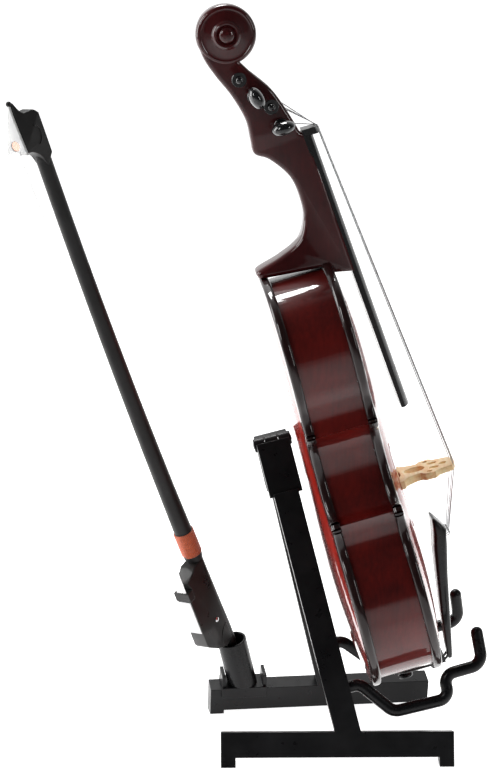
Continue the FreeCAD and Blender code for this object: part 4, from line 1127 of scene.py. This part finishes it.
def bow():
    stick()
    head()
    tip_plate()
    shown(refined("hair_plug", 0.1, PLUG_BRASS), "plug_brass", "hair_plug")
    frog()
    shown(refined("frog_slide", 0.08, PEARL), "pearl", "frog_slide")
    shown(refined("frog_ferrule", 0.25, FROG_BLACK), "frog_black", "frog_ferrule")
    winding()
    hair()


# ------------------------------------------------------------------ stage, light and camera
def floor_material():
    """Pale paper that glows from just before the part to the far side; it is dim nearer the camera."""
    made, nodes, links, shader, where = material_base("paper_floor")
    fibre = noise(nodes, links, where, 400.0, 5.0)
    tone = ramp(nodes, links, fibre, [(0.3, (0.80, 0.80, 0.80)), (0.7, (0.84, 0.84, 0.84))])
    links.new(tone, shader.inputs["Base Color"])
    shader.inputs["Roughness"].default_value = 0.9
    shader.inputs["Specular IOR Level"].default_value = 0.1
    shader.inputs["Emission Color"].default_value = (1, 1, 1, 1)
    place = nodes.new("ShaderNodeSeparateXYZ")
    links.new(where, place.inputs["Vector"])
    glow = level(nodes, links, place.outputs["Y"], -0.14, -0.05, 0.01, 0.95)
    links.new(glow, shader.inputs["Emission Strength"])
    add_bump(nodes, links, shader, fibre, 0.02, 0.0001)
    return made


def floor():
    reach = 14.0
    square = [(-reach, -reach, 0), (reach, -reach, 0), (reach, reach, 0), (-reach, reach, 0)]
    mesh = bpy.data.meshes.new("floor")
    mesh.from_pydata(square, [], [(0, 1, 2, 3)])
    link("floor", mesh, floor_material())


def studio_world():
    """Dark behind the camera and bright behind the part."""
    world = bpy.context.scene.world or bpy.data.worlds.new("studio")
    bpy.context.scene.world = world
    world.use_nodes = True
    nodes, links = world.node_tree.nodes, world.node_tree.links
    where = nodes.new("ShaderNodeTexCoord")
    place = nodes.new("ShaderNodeSeparateXYZ")
    links.new(where.outputs["Generated"], place.inputs["Vector"])
    glow = level(nodes, links, place.outputs["Y"], -0.1, 0.7, 0.03, 0.8)
    links.new(glow, nodes["Background"].inputs["Strength"])
    nodes["Background"].inputs["Color"].default_value = (1, 1, 1, 1)


def softbox(name, place, aim, width, height, power):
    lamp = bpy.data.lights.new(name, "AREA")
    lamp.shape = "RECTANGLE"
    lamp.size, lamp.size_y = width, height
    lamp.energy = power
    holder = bpy.data.objects.new(name, lamp)
    holder.location = place
    holder.rotation_euler = (Vector(aim) - Vector(place)).to_track_quat("-Z", "Y").to_euler()
    bpy.context.scene.collection.objects.link(holder)


def lights():
    studio_world()
    softbox("overhead", (-0.1, 0.5, 1.05), (0, 0, 0.12), 0.35, 0.3, 7.0)
    softbox("back_left", (-0.95, 0.15, 0.5), (0, 0, 0.1), 0.5, 0.9, 9.0)
    softbox("front_right", (0.8, -0.7, 0.55), (0, 0, 0.1), 0.12, 0.5, 2.0)
    softbox("front_left", (-0.75, -0.55, 0.75), (0, 0, 0.1), 0.14, 0.5, 3.0)


def camera():
    flat = math.cos(CAMERA_ELEVATION)
    ahead, aside = math.cos(CAMERA_AZIMUTH) * flat, math.sin(CAMERA_AZIMUTH) * flat
    forward = Vector((aside, ahead, -math.sin(CAMERA_ELEVATION)))
    lens = bpy.data.cameras.new("view")
    lens.lens = CAMERA_LENS
    lens.sensor_width = 36.0
    holder = bpy.data.objects.new("view", lens)
    holder.location = CAMERA_TARGET - forward * CAMERA_DISTANCE
    holder.rotation_euler = forward.to_track_quat("-Z", "Y").to_euler()
    bpy.context.scene.collection.objects.link(holder)
    bpy.context.scene.camera = holder


body_shell()
neck()
scroll()
peg_bushes()
for number, string_name in enumerate(STRINGS):
    peg(string_name)
    string(number)
bridge()
fittings()
stand()
bow()
floor()
lights()
camera()
bpy.context.scene.view_settings.view_transform = "Standard"
